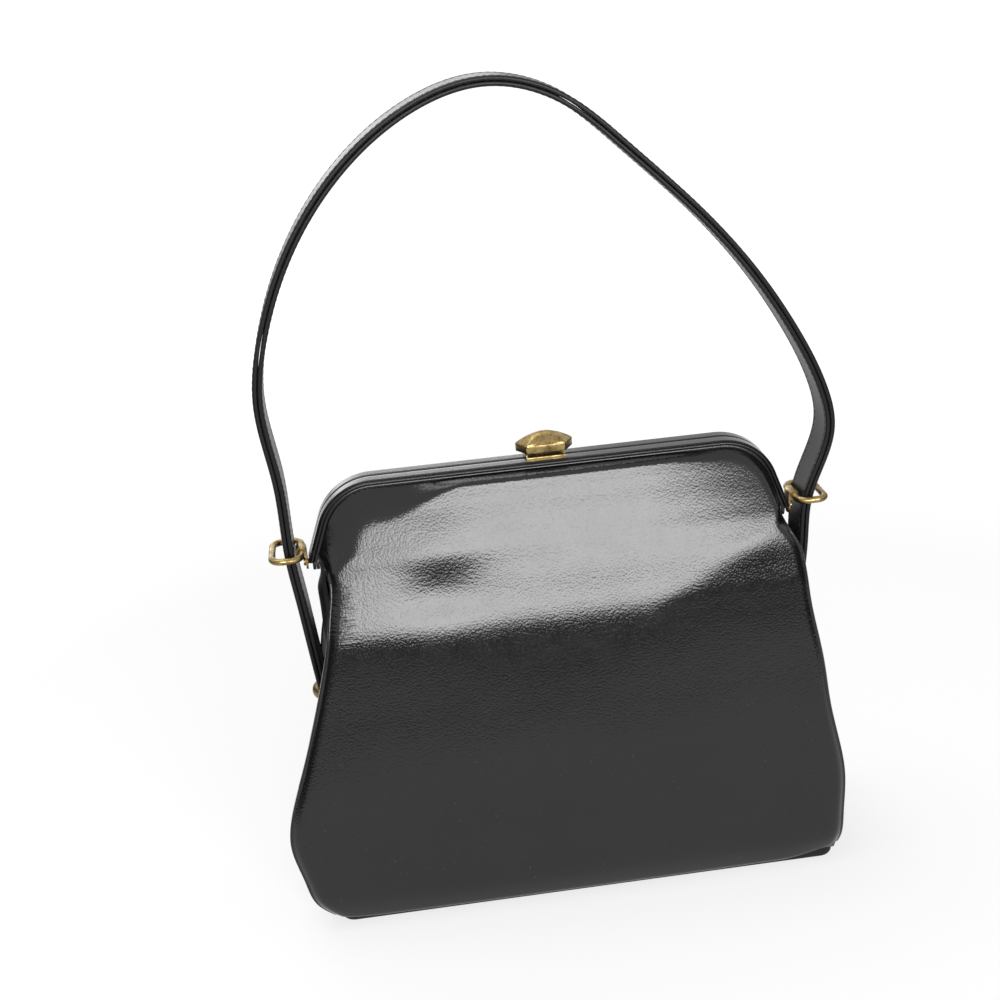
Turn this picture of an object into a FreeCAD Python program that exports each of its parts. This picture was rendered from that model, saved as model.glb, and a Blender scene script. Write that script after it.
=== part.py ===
import FreeCAD, Part
import math
import os

# Leather frame handbag: a soft body on a stiff base, a hinged two-part frame covered in leather,
# a brass lift clasp, and one strap handle that runs through brass rings to a rivet on each side.
# Millimetres. X runs along the frame, Y from front to back, Z up from the floor under the base.

# Fits
RUN_FIT = 0.05           # radial room of a pin or bar in its eye
SOFT_CLEAR = 0.3         # room between leather pieces and their neighbours
STACK_GAP = 0.3          # room between plates on one pin
OVERRUN = 2.0            # how far a cutting tool runs past a face

# Frame outline, at the outer face of its leather
FRAME_TOP = 199.0
FRAME_RUN = 152.0        # straight run along the top
FRAME_CORNER = 26.0      # corner radius
LEG_LEAN = 20.0          # degrees that a leg leans outwards
LEG_DROP = 34.5          # from the top down to the leg ends

# Frame section
PART_GAP = 0.6           # gap between the closed halves
HALF_DEPTH = 6.2
COVER = 0.8              # leather on the steel
STEEL = 0.8
SHOW_WALL = 3.6          # depth of the wall that shows
PART_WALL = 6.0          # depth of the wall at the parting line
BEAD_RADIUS = 0.6        # rolled bead along the showing wall
BEAD_INSET = 1.3

# Hinges at the leg ends
HINGE_DROP = 1.5         # from the leg ends down to the pins
PIN_RADIUS = 1.2
LUG_RADIUS = 4.2
LUG_PLATE = 1.2
LUG_SEAT = 2.0           # how far a lug reaches up into its leg
LUG_ROOM = 0.4           # room round the lugs inside the leg ends
PIN_HEAD_RADIUS = 1.9
PIN_HEAD = 1.0

# Strap rings and the clips that hold them
RING_WIRE_RADIUS = 1.5
RING_REACH = 12.5        # between the inner and outer bars
RING_WIDTH = 23.0        # between the two legs
RING_CORNER = 4.5
RING_RISE = 4.0          # above the leg ends
CLIP_PLATE = 0.8
CLIP_WIDTH = 7.0
CLIP_STANDOFF = 0.35     # from the frame's leather to the clip

# Soft body
BELLY_HALF_WIDTH = 126.0
BELLY_HALF_DEPTH = 39.3
CORNER_HEIGHT = 10.0     # where the base corner ends
BELLY_HEIGHT = 42.0      # where the body is widest
MOUTH_HALF_DEPTH = 14.5  # at the side edges of the panels' top
MOUTH_SET_IN = 7.4       # from the leg ends in to the panels' top corners
CROWN = 10.0             # how far a panel's middle stands out past its edges
PANEL = 2.2              # leather with its padding
GUSSET = 1.8
LIP_DROP = 8.5           # from the hinge down to the top of the fixed panels
LAP = 3.0                # overlap of the fixed and moving panels
FLAP = 1.2
FLAP_INSET = 2.2         # the moving panel's edge inside the frame outline
FLAP_GROOVE_DEPTH = 4.3  # where that edge lies, from the parting plane
FLAP_HALF_WIDTH = 96.0   # below the leg ends
LINING = 0.8
LINING_DROP = 5.5        # from the fixed panels' top down to the lining's edge
LINING_HEM = 4.5         # from the moving panel's bottom up to its lining's edge
BASE_BOARD = 1.8
BASE_CORNER = 4.5        # corner radius of the base pieces

# Strap
STRAP_WIDTH = 18.5
STRAP_LAYER = 2.1        # each of the two layers
STRAP_PIVOT_RISE = 14.0  # from the rings up to the line that the handle swings about
HANDLE_BULGE = 10.8      # how far the handle swells out past the strap at the rings
HANDLE_RISE = 176.0      # from the swing line up to the top of the handle's middle line
TAIL_STANDOFF = 1.2      # from the gusset to the strap end

# Strap rivets
RIVET_HEIGHT = 100.0
DOME_RADIUS = 4.6
DOME_HEIGHT = 3.6
SHANK_RADIUS = 1.3
WASHER_RADIUS = 3.4
WASHER = 0.8
WASHER_ROOM = 0.9
PEEN = 0.5

# Clasp, with heights above the frame's top
CLASP_HALF_WIDTH = 9.0
CLASP_PLATE = 1.0
CLASP_FRONT_EDGE = 0.7   # base plate, behind the parting plane
CLASP_BACK_EDGE = 6.2
EAR_PLATE = 1.2
EAR_SET_IN = 0.8         # ears inside the base plate's ends
EAR_RADIUS = 2.0
CLASP_PIVOT_BACK = 3.2
CLASP_PIVOT_RISE = 3.2
CLASP_PIN_RADIUS = 0.9
KNUCKLE_RADIUS = 1.6
KNUCKLE_GAP = 0.2
CAP_FACE_HALF = 8.5      # half the front face's width
CAP_HALF_WIDTH = 12.6
CAP_FRONT = 5.6          # front face, before the parting plane
CAP_SHOULDER_BACK = 1.5  # where the side facets end
CAP_BACK = 6.4
CAP_BACK_HALF = 7.0      # half the back edge's width
CAP_UNDERSIDE = 3.3
CAP_RIM = 7.0            # top of the upright facets
CAP_APEX = 10.8
CAP_WALL = 1.4
CAP_CEILING = 5.6        # roof of the hollow under the cap
SPRING_LEAF = 0.4
SPRING_HALF_WIDTH = 2.5
KEEPER_HEIGHT = 1.6
KEEPER_FRONT = 5.2
KEEPER_BACK = 1.4
KEEPER_EDGE = 0.6        # rounding of its showing edges
STUD_RADIUS = 0.8        # rivets of the base plate and the keeper
STUD_HEAD_RADIUS = 1.3
STUD_HEAD = 0.4
STUD_SPREAD = 5.6        # each side of the middle
STUD_BACK = 3.4          # from the parting plane
STUD_BITE = 1.0          # depth in the keeper

# Shares, chosen by hand.
# Body levels: width from mouth to belly, depth from mouth to belly, crown, gusset from neck to belly.
level_shares = (
    (0.52, 0.89, 0.05, 0.44),
    (0.80, 1.00, 0.15, 0.75),
    (1.00, 0.99, 0.30, 1.02),
    (0.71, 0.76, 0.50, 0.26),
    (0.51, 0.56, 0.65, 0.02),
    (0.24, 0.28, 0.85, -0.03),
    (0.00, 0.00, 1.00, 0.00),
)
FLANK_share = 0.62       # level between belly and rivet
SHOULDER_share = 0.5     # level between rivet and the panels' top
# Moving panel: angle share round the frame's corner, and how far the middle has swelled by there;
# then the share of the way down the leg, and the swelling there.
swell_shares = ((1.00, 0.01), (0.82, 0.012), (0.62, 0.05), (0.42, 0.27), (0.20, 0.52), (0.00, 0.67))
leg_swell_shares = ((0.50, 0.79), (1.00, 0.88))
HINGE_SWELL_share = 0.94
HINGE_EDGE_share = 0.55  # side edge at hinge height, from groove to mouth
# Thumb cap's roof: size of the outline, and rise from the rim to the top.
roof_shares = ((1.00, 0.00), (0.84, 0.38), (0.60, 0.73), (0.34, 0.93), (0.12, 1.00))
# Handle's middle line: sideways shares of its reach, upward shares of its rise.
handle_shares = (
    (-0.92, 0.11), (-0.948, 0.31), (-0.904, 0.474), (-0.792, 0.656), (-0.608, 0.827), (-0.36, 0.955),
    (-0.112, 1.0), (0.112, 0.955), (0.32, 0.832), (0.544, 0.673), (0.736, 0.508), (0.88, 0.344),
    (0.968, 0.207), (0.995, 0.099),
)

# Heights that follow from the sizes above
LEG_END = FRAME_TOP - LEG_DROP
HINGE_Z = LEG_END - HINGE_DROP
RING_Z = LEG_END + RING_RISE
PANEL_TOP = HINGE_Z - LIP_DROP
FLAP_BOTTOM = PANEL_TOP - LAP
SWING_Z = RING_Z + STRAP_PIVOT_RISE
TAIL_TOP = SWING_Z - STRAP_WIDTH / 2 - SOFT_CLEAR
HALF_OUT = PART_GAP / 2 + HALF_DEPTH
STEEL_IN = PART_GAP / 2 + COVER
STEEL_OUT = HALF_OUT - COVER

FRONT, BACK = -1, 1
LEFT, RIGHT = -1, 1
FACES = {"front": FRONT, "back": BACK}
SIDES = {"left": LEFT, "right": RIGHT}


def vec(x, y, z):
    return FreeCAD.Vector(x, y, z)


def line(a, b):
    return Part.LineSegment(a, b).toShape()


def arc(a, middle, b):
    return Part.Arc(a, middle, b).toShape()


def block(x0, x1, y0, y1, z0, z1):
    low = vec(min(x0, x1), min(y0, y1), min(z0, z1))
    return Part.makeBox(abs(x1 - x0), abs(y1 - y0), abs(z1 - z0), low)


def rod_x(radius, x0, x1, y, z):
    """A round rod along X."""
    return Part.makeCylinder(radius, abs(x1 - x0), vec(min(x0, x1), y, z), vec(1, 0, 0))


def rod_z(radius, x, y, z0, z1):
    """A round rod along Z."""
    return Part.makeCylinder(radius, z1 - z0, vec(x, y, z0), vec(0, 0, 1))


def wire_along(path, radius):
    """A round wire bent along a path of lines and tangent arcs."""
    start = path.Edges[0]
    at = start.FirstParameter
    section = Part.Wire(Part.makeCircle(radius, start.valueAt(at), start.tangentAt(at)))
    return path.makePipeShell([section], True, False)


# Frame outline

def arch_half_width(inset, z):
    """Half the width of the frame's outline, moved inwards by inset, at height z."""
    lean = math.radians(LEG_LEAN)
    radius = FRAME_CORNER - inset
    rise = z - (FRAME_TOP - FRAME_CORNER)
    if rise > radius * math.sin(lean):
        return FRAME_RUN / 2 + math.sqrt(max(radius ** 2 - rise ** 2, 0))
    return FRAME_RUN / 2 + (radius - rise * math.sin(lean)) / math.cos(lean)


def arch_corner(inset, share):
    """A point on the right corner: share 0 where the leg starts, 1 where the top run starts."""
    angle = math.radians(LEG_LEAN + share * (90 - LEG_LEAN))
    radius = FRAME_CORNER - inset
    x = FRAME_RUN / 2 + radius * math.cos(angle)
    z = FRAME_TOP - FRAME_CORNER + radius * math.sin(angle)
    return x, z


def arch_edges(inset, y):
    """The outline from the left leg end over the top to the right leg end."""
    foot = (arch_half_width(inset, LEG_END), LEG_END)
    low, middle, high = [arch_corner(inset, share) for share in (0, 0.5, 1)]
    left = [vec(-x, y, z) for x, z in (foot, low, middle, high)]
    right = [vec(x, y, z) for x, z in (foot, low, middle, high)]
    return [
        line(left[0], left[1]), arc(left[1], left[2], left[3]), line(left[3], right[3]),
        arc(right[3], right[2], right[1]), line(right[1], right[0]),
    ]


def arch_band(inset_out, inset_in, depth0, depth1, facing):
    """The stretch between two insets of the outline, from one depth to another on one half."""
    y = facing * depth0
    outer = arch_edges(inset_out, y)
    inner = arch_edges(inset_in, y)
    foot_out, foot_in = [arch_half_width(inset, LEG_END) for inset in (inset_out, inset_in)]
    ends = [
        line(vec(side * foot_out, y, LEG_END), vec(side * foot_in, y, LEG_END)) for side in (LEFT, RIGHT)
    ]
    wire = Part.Wire(Part.__sortEdges__(outer + ends + inner))
    return Part.Face(wire).extrude(vec(0, facing * (depth1 - depth0), 0))


# Places along the hinge pins, outwards on the right side
LUG_FACE_X = {FRONT: arch_half_width(COVER + STEEL, LEG_END)}
LUG_FACE_X[BACK] = LUG_FACE_X[FRONT] - LUG_PLATE - STACK_GAP
NECK_X = LUG_FACE_X[BACK] - LUG_PLATE - STACK_GAP
PIN_INNER_X = NECK_X - GUSSET - STACK_GAP
CLIP_X = arch_half_width(0, LEG_END) + CLIP_STANDOFF
CLIP_EYE_RADIUS = RING_WIRE_RADIUS + RUN_FIT + CLIP_PLATE
RING_BAR_X = CLIP_X + CLIP_EYE_RADIUS
STRAP_RING_X = RING_BAR_X + CLIP_EYE_RADIUS + SOFT_CLEAR + STRAP_LAYER
HANDLE_REACH = STRAP_RING_X + HANDLE_BULGE
MOUTH_HALF_WIDTH = arch_half_width(0, LEG_END) - MOUTH_SET_IN


def hinge_lug(facing, side):
    """The eye plate that carries one leg end on its hinge pin."""
    x_out = LUG_FACE_X[facing]
    x0, x1 = side * (x_out - LUG_PLATE), side * x_out
    top = LEG_END + LUG_SEAT
    slant = LUG_RADIUS * math.sqrt(0.5)
    corners = [(STEEL_OUT, top), (STEEL_IN, top), (STEEL_IN, HINGE_Z), (slant, HINGE_Z - slant)]
    points = [vec(x0, facing * depth, z) for depth, z in corners]
    neck = Part.Face(Part.makePolygon(points + points[:1])).extrude(vec(x1 - x0, 0, 0))
    return neck.fuse(rod_x(LUG_RADIUS, x0, x1, 0, HINGE_Z))


def lug_room():
    """The space in both leg ends that the lugs and the gussets' tongues turn in."""
    reach = LUG_FACE_X[FRONT]
    return rod_x(LUG_RADIUS + LUG_ROOM, -reach, reach, 0, HINGE_Z)


def pin_bores():
    """Both hinge pins' running bores, as one cutting tool."""
    reach = CLIP_X + OVERRUN
    return rod_x(PIN_RADIUS + RUN_FIT, -reach, reach, 0, HINGE_Z)


def stud_places(facing):
    return [(side * STUD_SPREAD, facing * STUD_BACK) for side in (LEFT, RIGHT)]


def stud_bores(facing):
    """The clasp rivets' bores through the top of one frame half."""
    low, high = FRAME_TOP - COVER - STEEL - OVERRUN, FRAME_TOP + OVERRUN
    return [rod_z(STUD_RADIUS + RUN_FIT, x, y, low, high) for x, y in stud_places(facing)]


def frame_channel(facing):
    """Steel channel of one frame half, open towards the panel, with its two hinge lugs."""
    past = PART_WALL + OVERRUN
    body = arch_band(COVER, PART_WALL, STEEL_IN, STEEL_OUT, facing)
    groove = arch_band(COVER + STEEL, past, STEEL_IN + STEEL, STEEL_OUT - STEEL, facing)
    trim = arch_band(SHOW_WALL, past, STEEL_OUT - STEEL, STEEL_OUT + OVERRUN, facing)
    channel = body.cut([groove, trim, lug_room()])
    channel = channel.fuse([hinge_lug(facing, side) for side in (LEFT, RIGHT)])
    return channel.cut([pin_bores()] + stud_bores(facing)).removeSplitter()


def frame_cover(facing):
    """Leather over one half of the frame, with the rolled bead along its showing wall."""
    past = PART_WALL + OVERRUN
    skin = arch_band(0, PART_WALL, PART_GAP / 2, HALF_OUT, facing)
    hollow = arch_band(COVER, past, STEEL_IN, STEEL_OUT, facing)
    trim = arch_band(SHOW_WALL, past, STEEL_OUT, HALF_OUT + OVERRUN, facing)
    path = Part.Wire(arch_edges(BEAD_INSET, facing * HALF_OUT))
    bead = wire_along(path, BEAD_RADIUS)
    return skin.cut([hollow, trim, lug_room()] + stud_bores(facing)).fuse(bead)


# Soft body

def body_levels():
    """Heights and half sizes of the body: width, depth at the edges, depth in the middle, gusset fold."""
    heights = [
        0, CORNER_HEIGHT, BELLY_HEIGHT, BELLY_HEIGHT + FLANK_share * (RIVET_HEIGHT - BELLY_HEIGHT),
        RIVET_HEIGHT, RIVET_HEIGHT + SHOULDER_share * (PANEL_TOP - RIVET_HEIGHT), PANEL_TOP,
    ]
    levels = []
    for z, (wide, deep, crown, fold) in zip(heights, level_shares):
        width = MOUTH_HALF_WIDTH + wide * (BELLY_HALF_WIDTH - MOUTH_HALF_WIDTH)
        edge = MOUTH_HALF_DEPTH + deep * (BELLY_HALF_DEPTH - MOUTH_HALF_DEPTH)
        inward = NECK_X + fold * (BELLY_HALF_WIDTH - NECK_X)
        levels.append((z, width, edge, edge + crown * CROWN, inward))
    return levels


def sheet_section(z, half_width, edge, middle, thickness, facing):
    """A panel's cut at one height: two bowed lines joined at the side edges."""
    ends = [
        (-half_width, edge), (half_width, edge),
        (half_width, edge - thickness), (-half_width, edge - thickness),
    ]
    a, b, c, d = [vec(x, facing * depth, z) for x, depth in ends]
    outer = arc(a, vec(0, facing * middle, z), b)
    inner = arc(c, vec(0, facing * (middle - thickness), z), d)
    return Part.Wire([outer, line(b, c), inner, line(d, a)])


def fixed_panel(facing):
    """The front or back panel from the base up to just under the hinges."""
    sections = []
    for z, width, edge, middle, fold in body_levels():
        sections.append(sheet_section(z, width, edge, middle, PANEL, facing))
    return Part.makeLoft(sections, True, False)


def gusset_section(z, half_width, edge, fold, side):
    """An end panel's cut at one height, between the front and back panels."""
    depth = edge - PANEL - SOFT_CLEAR
    a = vec(side * half_width, -depth, z)
    b = vec(side * half_width, depth, z)
    c = vec(side * (half_width - GUSSET), depth, z)
    d = vec(side * (half_width - GUSSET), -depth, z)
    outer = arc(a, vec(side * fold, 0, z), b)
    inner = arc(c, vec(side * (fold - GUSSET), 0, z), d)
    return Part.Wire([outer, line(b, c), inner, line(d, a)])


def gusset(side):
    """One end of the body, with the tongue that the hinge pin holds."""
    sections = []
    for z, width, edge, middle, fold in body_levels():
        sections.append(gusset_section(z, width, edge, fold, side))
    wall = Part.makeLoft(sections, True, False)
    x0, x1 = side * (NECK_X - GUSSET), side * NECK_X
    tongue = block(x0, x1, -LUG_RADIUS, LUG_RADIUS, PANEL_TOP - LAP, HINGE_Z)
    tongue = tongue.fuse(rod_x(LUG_RADIUS, x0, x1, 0, HINGE_Z))
    return wall.fuse(tongue).cut([pin_bores(), rivet_bore(side)]).removeSplitter()


def body_filler(inset_depth, inset_width):
    """The space inside the body, moved in from the outer faces of the panels and gussets."""
    sections = []
    for z, width, edge, middle, fold in body_levels():
        x = width - inset_width
        y = edge - inset_depth
        corners = [vec(-x, -y, z), vec(x, -y, z), vec(x, y, z), vec(-x, y, z)]
        middles = [
            vec(0, inset_depth - middle, z), vec(fold - inset_width, 0, z),
            vec(0, middle - inset_depth, z), vec(inset_width - fold, 0, z),
        ]
        edges = [arc(corners[i], middles[i], corners[(i + 1) % 4]) for i in range(4)]
        sections.append(Part.Wire(edges))
    return Part.makeLoft(sections, True, False)


def body_lining():
    """The fabric tub inside the body, open at the top."""
    reach = BELLY_HALF_WIDTH + OVERRUN + OVERRUN
    floor = PANEL + BASE_BOARD + SOFT_CLEAR
    top = PANEL_TOP - LINING_DROP
    outer = body_filler(PANEL + SOFT_CLEAR, GUSSET + SOFT_CLEAR)
    outer = outer.common(block(-reach, reach, -reach, reach, floor, top))
    inner = body_filler(PANEL + SOFT_CLEAR + LINING, GUSSET + SOFT_CLEAR + LINING)
    inner = inner.common(block(-reach, reach, -reach, reach, floor + LINING, top + OVERRUN))
    return outer.cut([inner] + [rivet_bore(side) for side in (LEFT, RIGHT)])


def base_sheet(z0, z1, inset):
    """A flat piece inside the foot of the body."""
    z, width, edge, middle, fold = body_levels()[0]
    x = fold - GUSSET - SOFT_CLEAR - inset
    y = edge - PANEL - SOFT_CLEAR - inset
    sheet = block(-x, x, -y, y, z0, z1)
    upright = [e for e in sheet.Edges if abs(e.tangentAt(e.FirstParameter).z) > 0.5]
    return sheet.makeFillet(BASE_CORNER, upright)


def sheet_loft(rows, set_in, thickness, facing, straight):
    """A bowed sheet through rows of height, half width, edge depth and middle depth."""
    sections = []
    for z, x, edge, middle in rows:
        sections.append(sheet_section(z, x, edge - set_in, middle - set_in, thickness, facing))
    return Part.makeLoft(sections, True, straight)


def moving_sheet(facing, set_in, thickness, bottom):
    """A sheet in one frame half, swelling from the groove down to the lap with the fixed panel."""
    lap_edge = MOUTH_HALF_DEPTH - PANEL - SOFT_CLEAR
    swell = lap_edge + CROWN - FLAP_GROOVE_DEPTH
    clear = LEG_END + LUG_SEAT + SOFT_CLEAR
    upper = []
    for corner, share in swell_shares:
        x, z = arch_corner(FLAP_INSET, corner)
        upper.append((z, x, FLAP_GROOVE_DEPTH, FLAP_GROOVE_DEPTH + share * swell))
    corner_foot = upper[-1][0]
    for down, share in leg_swell_shares:
        z = corner_foot + down * (clear - corner_foot)
        x = arch_half_width(FLAP_INSET, z)
        upper.append((z, x, FLAP_GROOVE_DEPTH, FLAP_GROOVE_DEPTH + share * swell))
    hinge_edge = FLAP_GROOVE_DEPTH + HINGE_EDGE_share * (lap_edge - FLAP_GROOVE_DEPTH)
    hinge_middle = FLAP_GROOVE_DEPTH + HINGE_SWELL_share * swell
    slope = (body_levels()[-2][2] - body_levels()[-1][2]) / (PANEL_TOP - body_levels()[-2][0])
    low_edge = lap_edge + slope * LAP
    lower = [
        upper[-1], (HINGE_Z, MOUTH_HALF_WIDTH, hinge_edge, hinge_middle),
        (PANEL_TOP, MOUTH_HALF_WIDTH, lap_edge, lap_edge + CROWN),
        (FLAP_BOTTOM, MOUTH_HALF_WIDTH, low_edge, low_edge + CROWN),
    ]
    head = sheet_loft(upper, set_in, thickness, facing, True)
    sheet = head.fuse(sheet_loft(lower, set_in, thickness, facing, False))
    reach = BELLY_HALF_WIDTH
    low = FLAP_BOTTOM - OVERRUN
    trims = [block(-reach, reach, -reach, reach, low, bottom)]
    for side in (LEFT, RIGHT):
        trims.append(block(side * FLAP_HALF_WIDTH, side * reach, -reach, reach, low, clear))
    return sheet.cut(trims).removeSplitter()


def moving_panel(facing):
    return moving_sheet(facing, 0, FLAP, FLAP_BOTTOM)


def moving_lining(facing):
    return moving_sheet(facing, FLAP + SOFT_CLEAR, LINING, FLAP_BOTTOM + LINING_HEM)


# Hinge pins, ring clips and rings

def hinge_pin(side):
    """A pin through both lugs, the gusset's tongue and the ring clip, headed at both ends."""
    outer = CLIP_X + CLIP_PLATE + RUN_FIT
    shank = rod_x(PIN_RADIUS, side * PIN_INNER_X, side * outer, 0, HINGE_Z)
    inner_head = rod_x(PIN_HEAD_RADIUS, side * (PIN_INNER_X - PIN_HEAD), side * PIN_INNER_X, 0, HINGE_Z)
    outer_head = rod_x(PIN_HEAD_RADIUS, side * outer, side * (outer + PIN_HEAD), 0, HINGE_Z)
    return shank.fuse([inner_head, outer_head]).removeSplitter()


def ring_bar_rod(radius, length, side):
    start = vec(side * RING_BAR_X, -length / 2, RING_Z)
    return Part.makeCylinder(radius, length, start, vec(0, 1, 0))


def ring_clip(side):
    """A strip held by the hinge pin and rolled round the ring's inner bar."""
    x0, x1 = side * CLIP_X, side * (CLIP_X + CLIP_PLATE)
    strip = block(x0, x1, -CLIP_WIDTH / 2, CLIP_WIDTH / 2, HINGE_Z, RING_Z)
    foot = rod_x(CLIP_WIDTH / 2, x0, x1, 0, HINGE_Z)
    clip = strip.fuse([foot, ring_bar_rod(CLIP_EYE_RADIUS, CLIP_WIDTH, side)])
    bore = ring_bar_rod(RING_WIRE_RADIUS + RUN_FIT, CLIP_WIDTH + OVERRUN, side)
    return clip.cut([bore, pin_bores()]).removeSplitter()


def strap_ring(side):
    """A rounded rectangle of wire that the strap runs through."""
    near, far = RING_BAR_X, RING_BAR_X + RING_REACH
    half = RING_WIDTH / 2
    bow = RING_CORNER * (1 - math.sqrt(0.5))
    corners = ((far, half, -1, -1), (near, half, 1, -1), (near, -half, 1, 1), (far, -half, -1, 1))
    rounds = []
    for x, y, into_x, into_y in corners:
        along_y = vec(side * x, y + into_y * RING_CORNER, RING_Z)
        along_x = vec(side * (x + into_x * RING_CORNER), y, RING_Z)
        middle = vec(side * (x + into_x * bow), y + into_y * bow, RING_Z)
        rounds.append((along_y, middle, along_x))
    edges = [arc(*bend) for bend in rounds]
    edges += [line(rounds[0][2], rounds[1][2]), line(rounds[1][0], rounds[2][0])]
    edges += [line(rounds[2][2], rounds[3][2]), line(rounds[3][0], rounds[0][0])]
    return wire_along(Part.Wire(Part.__sortEdges__(edges)), RING_WIRE_RADIUS)


# Strap, in two layers, and its rivets

def tail_line():
    """The strap end's middle line on the right side: its place at the rivet and its slope."""
    z, width, edge, middle, fold = body_levels()[4]
    depth = edge - PANEL - SOFT_CLEAR
    rise_at_edge = (width - fold) * (STRAP_WIDTH / 2 / depth) ** 2
    x_rivet = fold + rise_at_edge + TAIL_STANDOFF + STRAP_LAYER
    return x_rivet, math.atan2(STRAP_RING_X - x_rivet, RING_Z - RIVET_HEIGHT)


def on_tail(shape, side):
    """Moves a shape from the strap end's own axes, X outwards and Z up the strap, to its side."""
    x_rivet, slope = tail_line()
    turn = FreeCAD.Rotation(vec(0, 1, 0), math.degrees(slope))
    placed = shape.transformed(FreeCAD.Placement(vec(x_rivet, 0, RIVET_HEIGHT), turn).toMatrix())
    if side == LEFT:
        return placed.mirror(vec(0, 0, 0), vec(1, 0, 0))
    return placed


def rivet_depth():
    """How far the rivet reaches inwards from the strap's middle to the back of its washer."""
    fold = body_levels()[4][4]
    lining_face = fold - GUSSET - SOFT_CLEAR - LINING
    return tail_line()[0] - lining_face + WASHER_ROOM + WASHER


def rivet_bore(side):
    reach = rivet_depth() + OVERRUN
    return on_tail(rod_x(SHANK_RADIUS + RUN_FIT, -reach, reach, 0, 0), side)


def strap_end(side, layer0, layer1):
    """One layer of the strap from its rounded end at the rivet up through the ring."""
    half = STRAP_WIDTH / 2
    length = SWING_Z - RIVET_HEIGHT
    strip = block(layer0, layer1, -half, half, 0, length)
    strip = strip.fuse(rod_x(half, layer0, layer1, 0, 0)).removeSplitter()
    strip = strip.cut(rod_x(SHANK_RADIUS + RUN_FIT, layer0 - OVERRUN, layer1 + OVERRUN, 0, 0))
    reach = HANDLE_REACH + OVERRUN
    above = block(-reach, reach, -reach, reach, TAIL_TOP, SWING_Z + OVERRUN)
    return on_tail(strip, side).cut(above)


def strap_rivet(side):
    """A domed rivet through the strap, the gusset and the lining, spread behind its washer."""
    depth = rivet_depth()
    ball_radius = (DOME_RADIUS ** 2 + DOME_HEIGHT ** 2) / (2 * DOME_HEIGHT)
    ball = Part.makeSphere(ball_radius, vec(STRAP_LAYER + DOME_HEIGHT - ball_radius, 0, 0), vec(1, 0, 0))
    dome = ball.common(rod_x(ball_radius, STRAP_LAYER, STRAP_LAYER + ball_radius, 0, 0))
    shank = rod_x(SHANK_RADIUS, -depth, STRAP_LAYER, 0, 0)
    spread = rod_x(SHANK_RADIUS + PEEN, -depth - PEEN, -depth, 0, 0)
    return on_tail(dome.fuse([shank, spread]).removeSplitter(), side)


def rivet_washer(side):
    depth = rivet_depth()
    disc = rod_x(WASHER_RADIUS, -depth, WASHER - depth, 0, 0)
    bore = rod_x(SHANK_RADIUS + RUN_FIT, -depth - OVERRUN, WASHER - depth + OVERRUN, 0, 0)
    return on_tail(disc.cut(bore), side)


def handle_points():
    """The handle's middle line from the left strap end over the top to the right one."""
    x_rivet, slope = tail_line()
    start_z = SWING_Z - STRAP_WIDTH / 2 - OVERRUN
    start_x = x_rivet + (start_z - RIVET_HEIGHT) * math.tan(slope)
    points = [vec(x * HANDLE_REACH, 0, SWING_Z + z * HANDLE_RISE) for x, z in handle_shares]
    return [vec(-start_x, 0, start_z)] + points + [vec(start_x, 0, start_z)]


def handle_edge(offset):
    """The handle's middle line moved outwards by offset, as one smooth curve."""
    points = handle_points()
    curve = Part.BSplineCurve()
    curve.interpolate(points)
    moved = []
    for point in points:
        along = curve.tangent(curve.parameter(point))[0]
        moved.append(point + vec(-along.z, 0, along.x) * offset)
    edge = Part.BSplineCurve()
    edge.interpolate(moved)
    return edge.toShape(), moved[0], moved[-1]


def handle_layer(offset0, offset1):
    """One layer of the handle's arch, rounded below about the line that it swings on."""
    half = STRAP_WIDTH / 2
    outer, outer_start, outer_end = handle_edge(offset1)
    inner, inner_start, inner_end = handle_edge(offset0)
    ends = [line(outer_end, inner_end), line(inner_start, outer_start)]
    outline = Part.Wire(Part.__sortEdges__([outer, inner] + ends))
    ribbon = Part.Face(outline).extrude(vec(0, STRAP_WIDTH, 0))
    ribbon.translate(vec(0, -half, 0))
    reach = HANDLE_REACH + STRAP_WIDTH
    top = SWING_Z + HANDLE_RISE + STRAP_WIDTH
    above = block(-reach, reach, -half - OVERRUN, half + OVERRUN, SWING_Z, top)
    return ribbon.common(above.fuse(rod_x(half, -reach, reach, 0, SWING_Z)))


# Clasp

def clasp_base():
    """The plate on the back half with two ears for the clasp's pin."""
    top = FRAME_TOP + CLASP_PLATE
    pivot = FRAME_TOP + CLASP_PIVOT_RISE
    plate = block(-CLASP_HALF_WIDTH, CLASP_HALF_WIDTH, CLASP_FRONT_EDGE, CLASP_BACK_EDGE, FRAME_TOP, top)
    ears = []
    for side in (LEFT, RIGHT):
        x1 = side * (CLASP_HALF_WIDTH - EAR_SET_IN)
        x0 = x1 - side * EAR_PLATE
        y0, y1 = CLASP_PIVOT_BACK - EAR_RADIUS, CLASP_PIVOT_BACK + EAR_RADIUS
        ears.append(rod_x(EAR_RADIUS, x0, x1, CLASP_PIVOT_BACK, pivot))
        ears.append(block(x0, x1, y0, y1, FRAME_TOP, pivot))
    bore = rod_x(CLASP_PIN_RADIUS + RUN_FIT, -CAP_HALF_WIDTH, CAP_HALF_WIDTH, CLASP_PIVOT_BACK, pivot)
    return plate.fuse(ears).cut([bore] + stud_bores(BACK)).removeSplitter()


def clasp_pin():
    half = CLASP_HALF_WIDTH - EAR_SET_IN
    return rod_x(CLASP_PIN_RADIUS, -half, half, CLASP_PIVOT_BACK, FRAME_TOP + CLASP_PIVOT_RISE)


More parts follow.
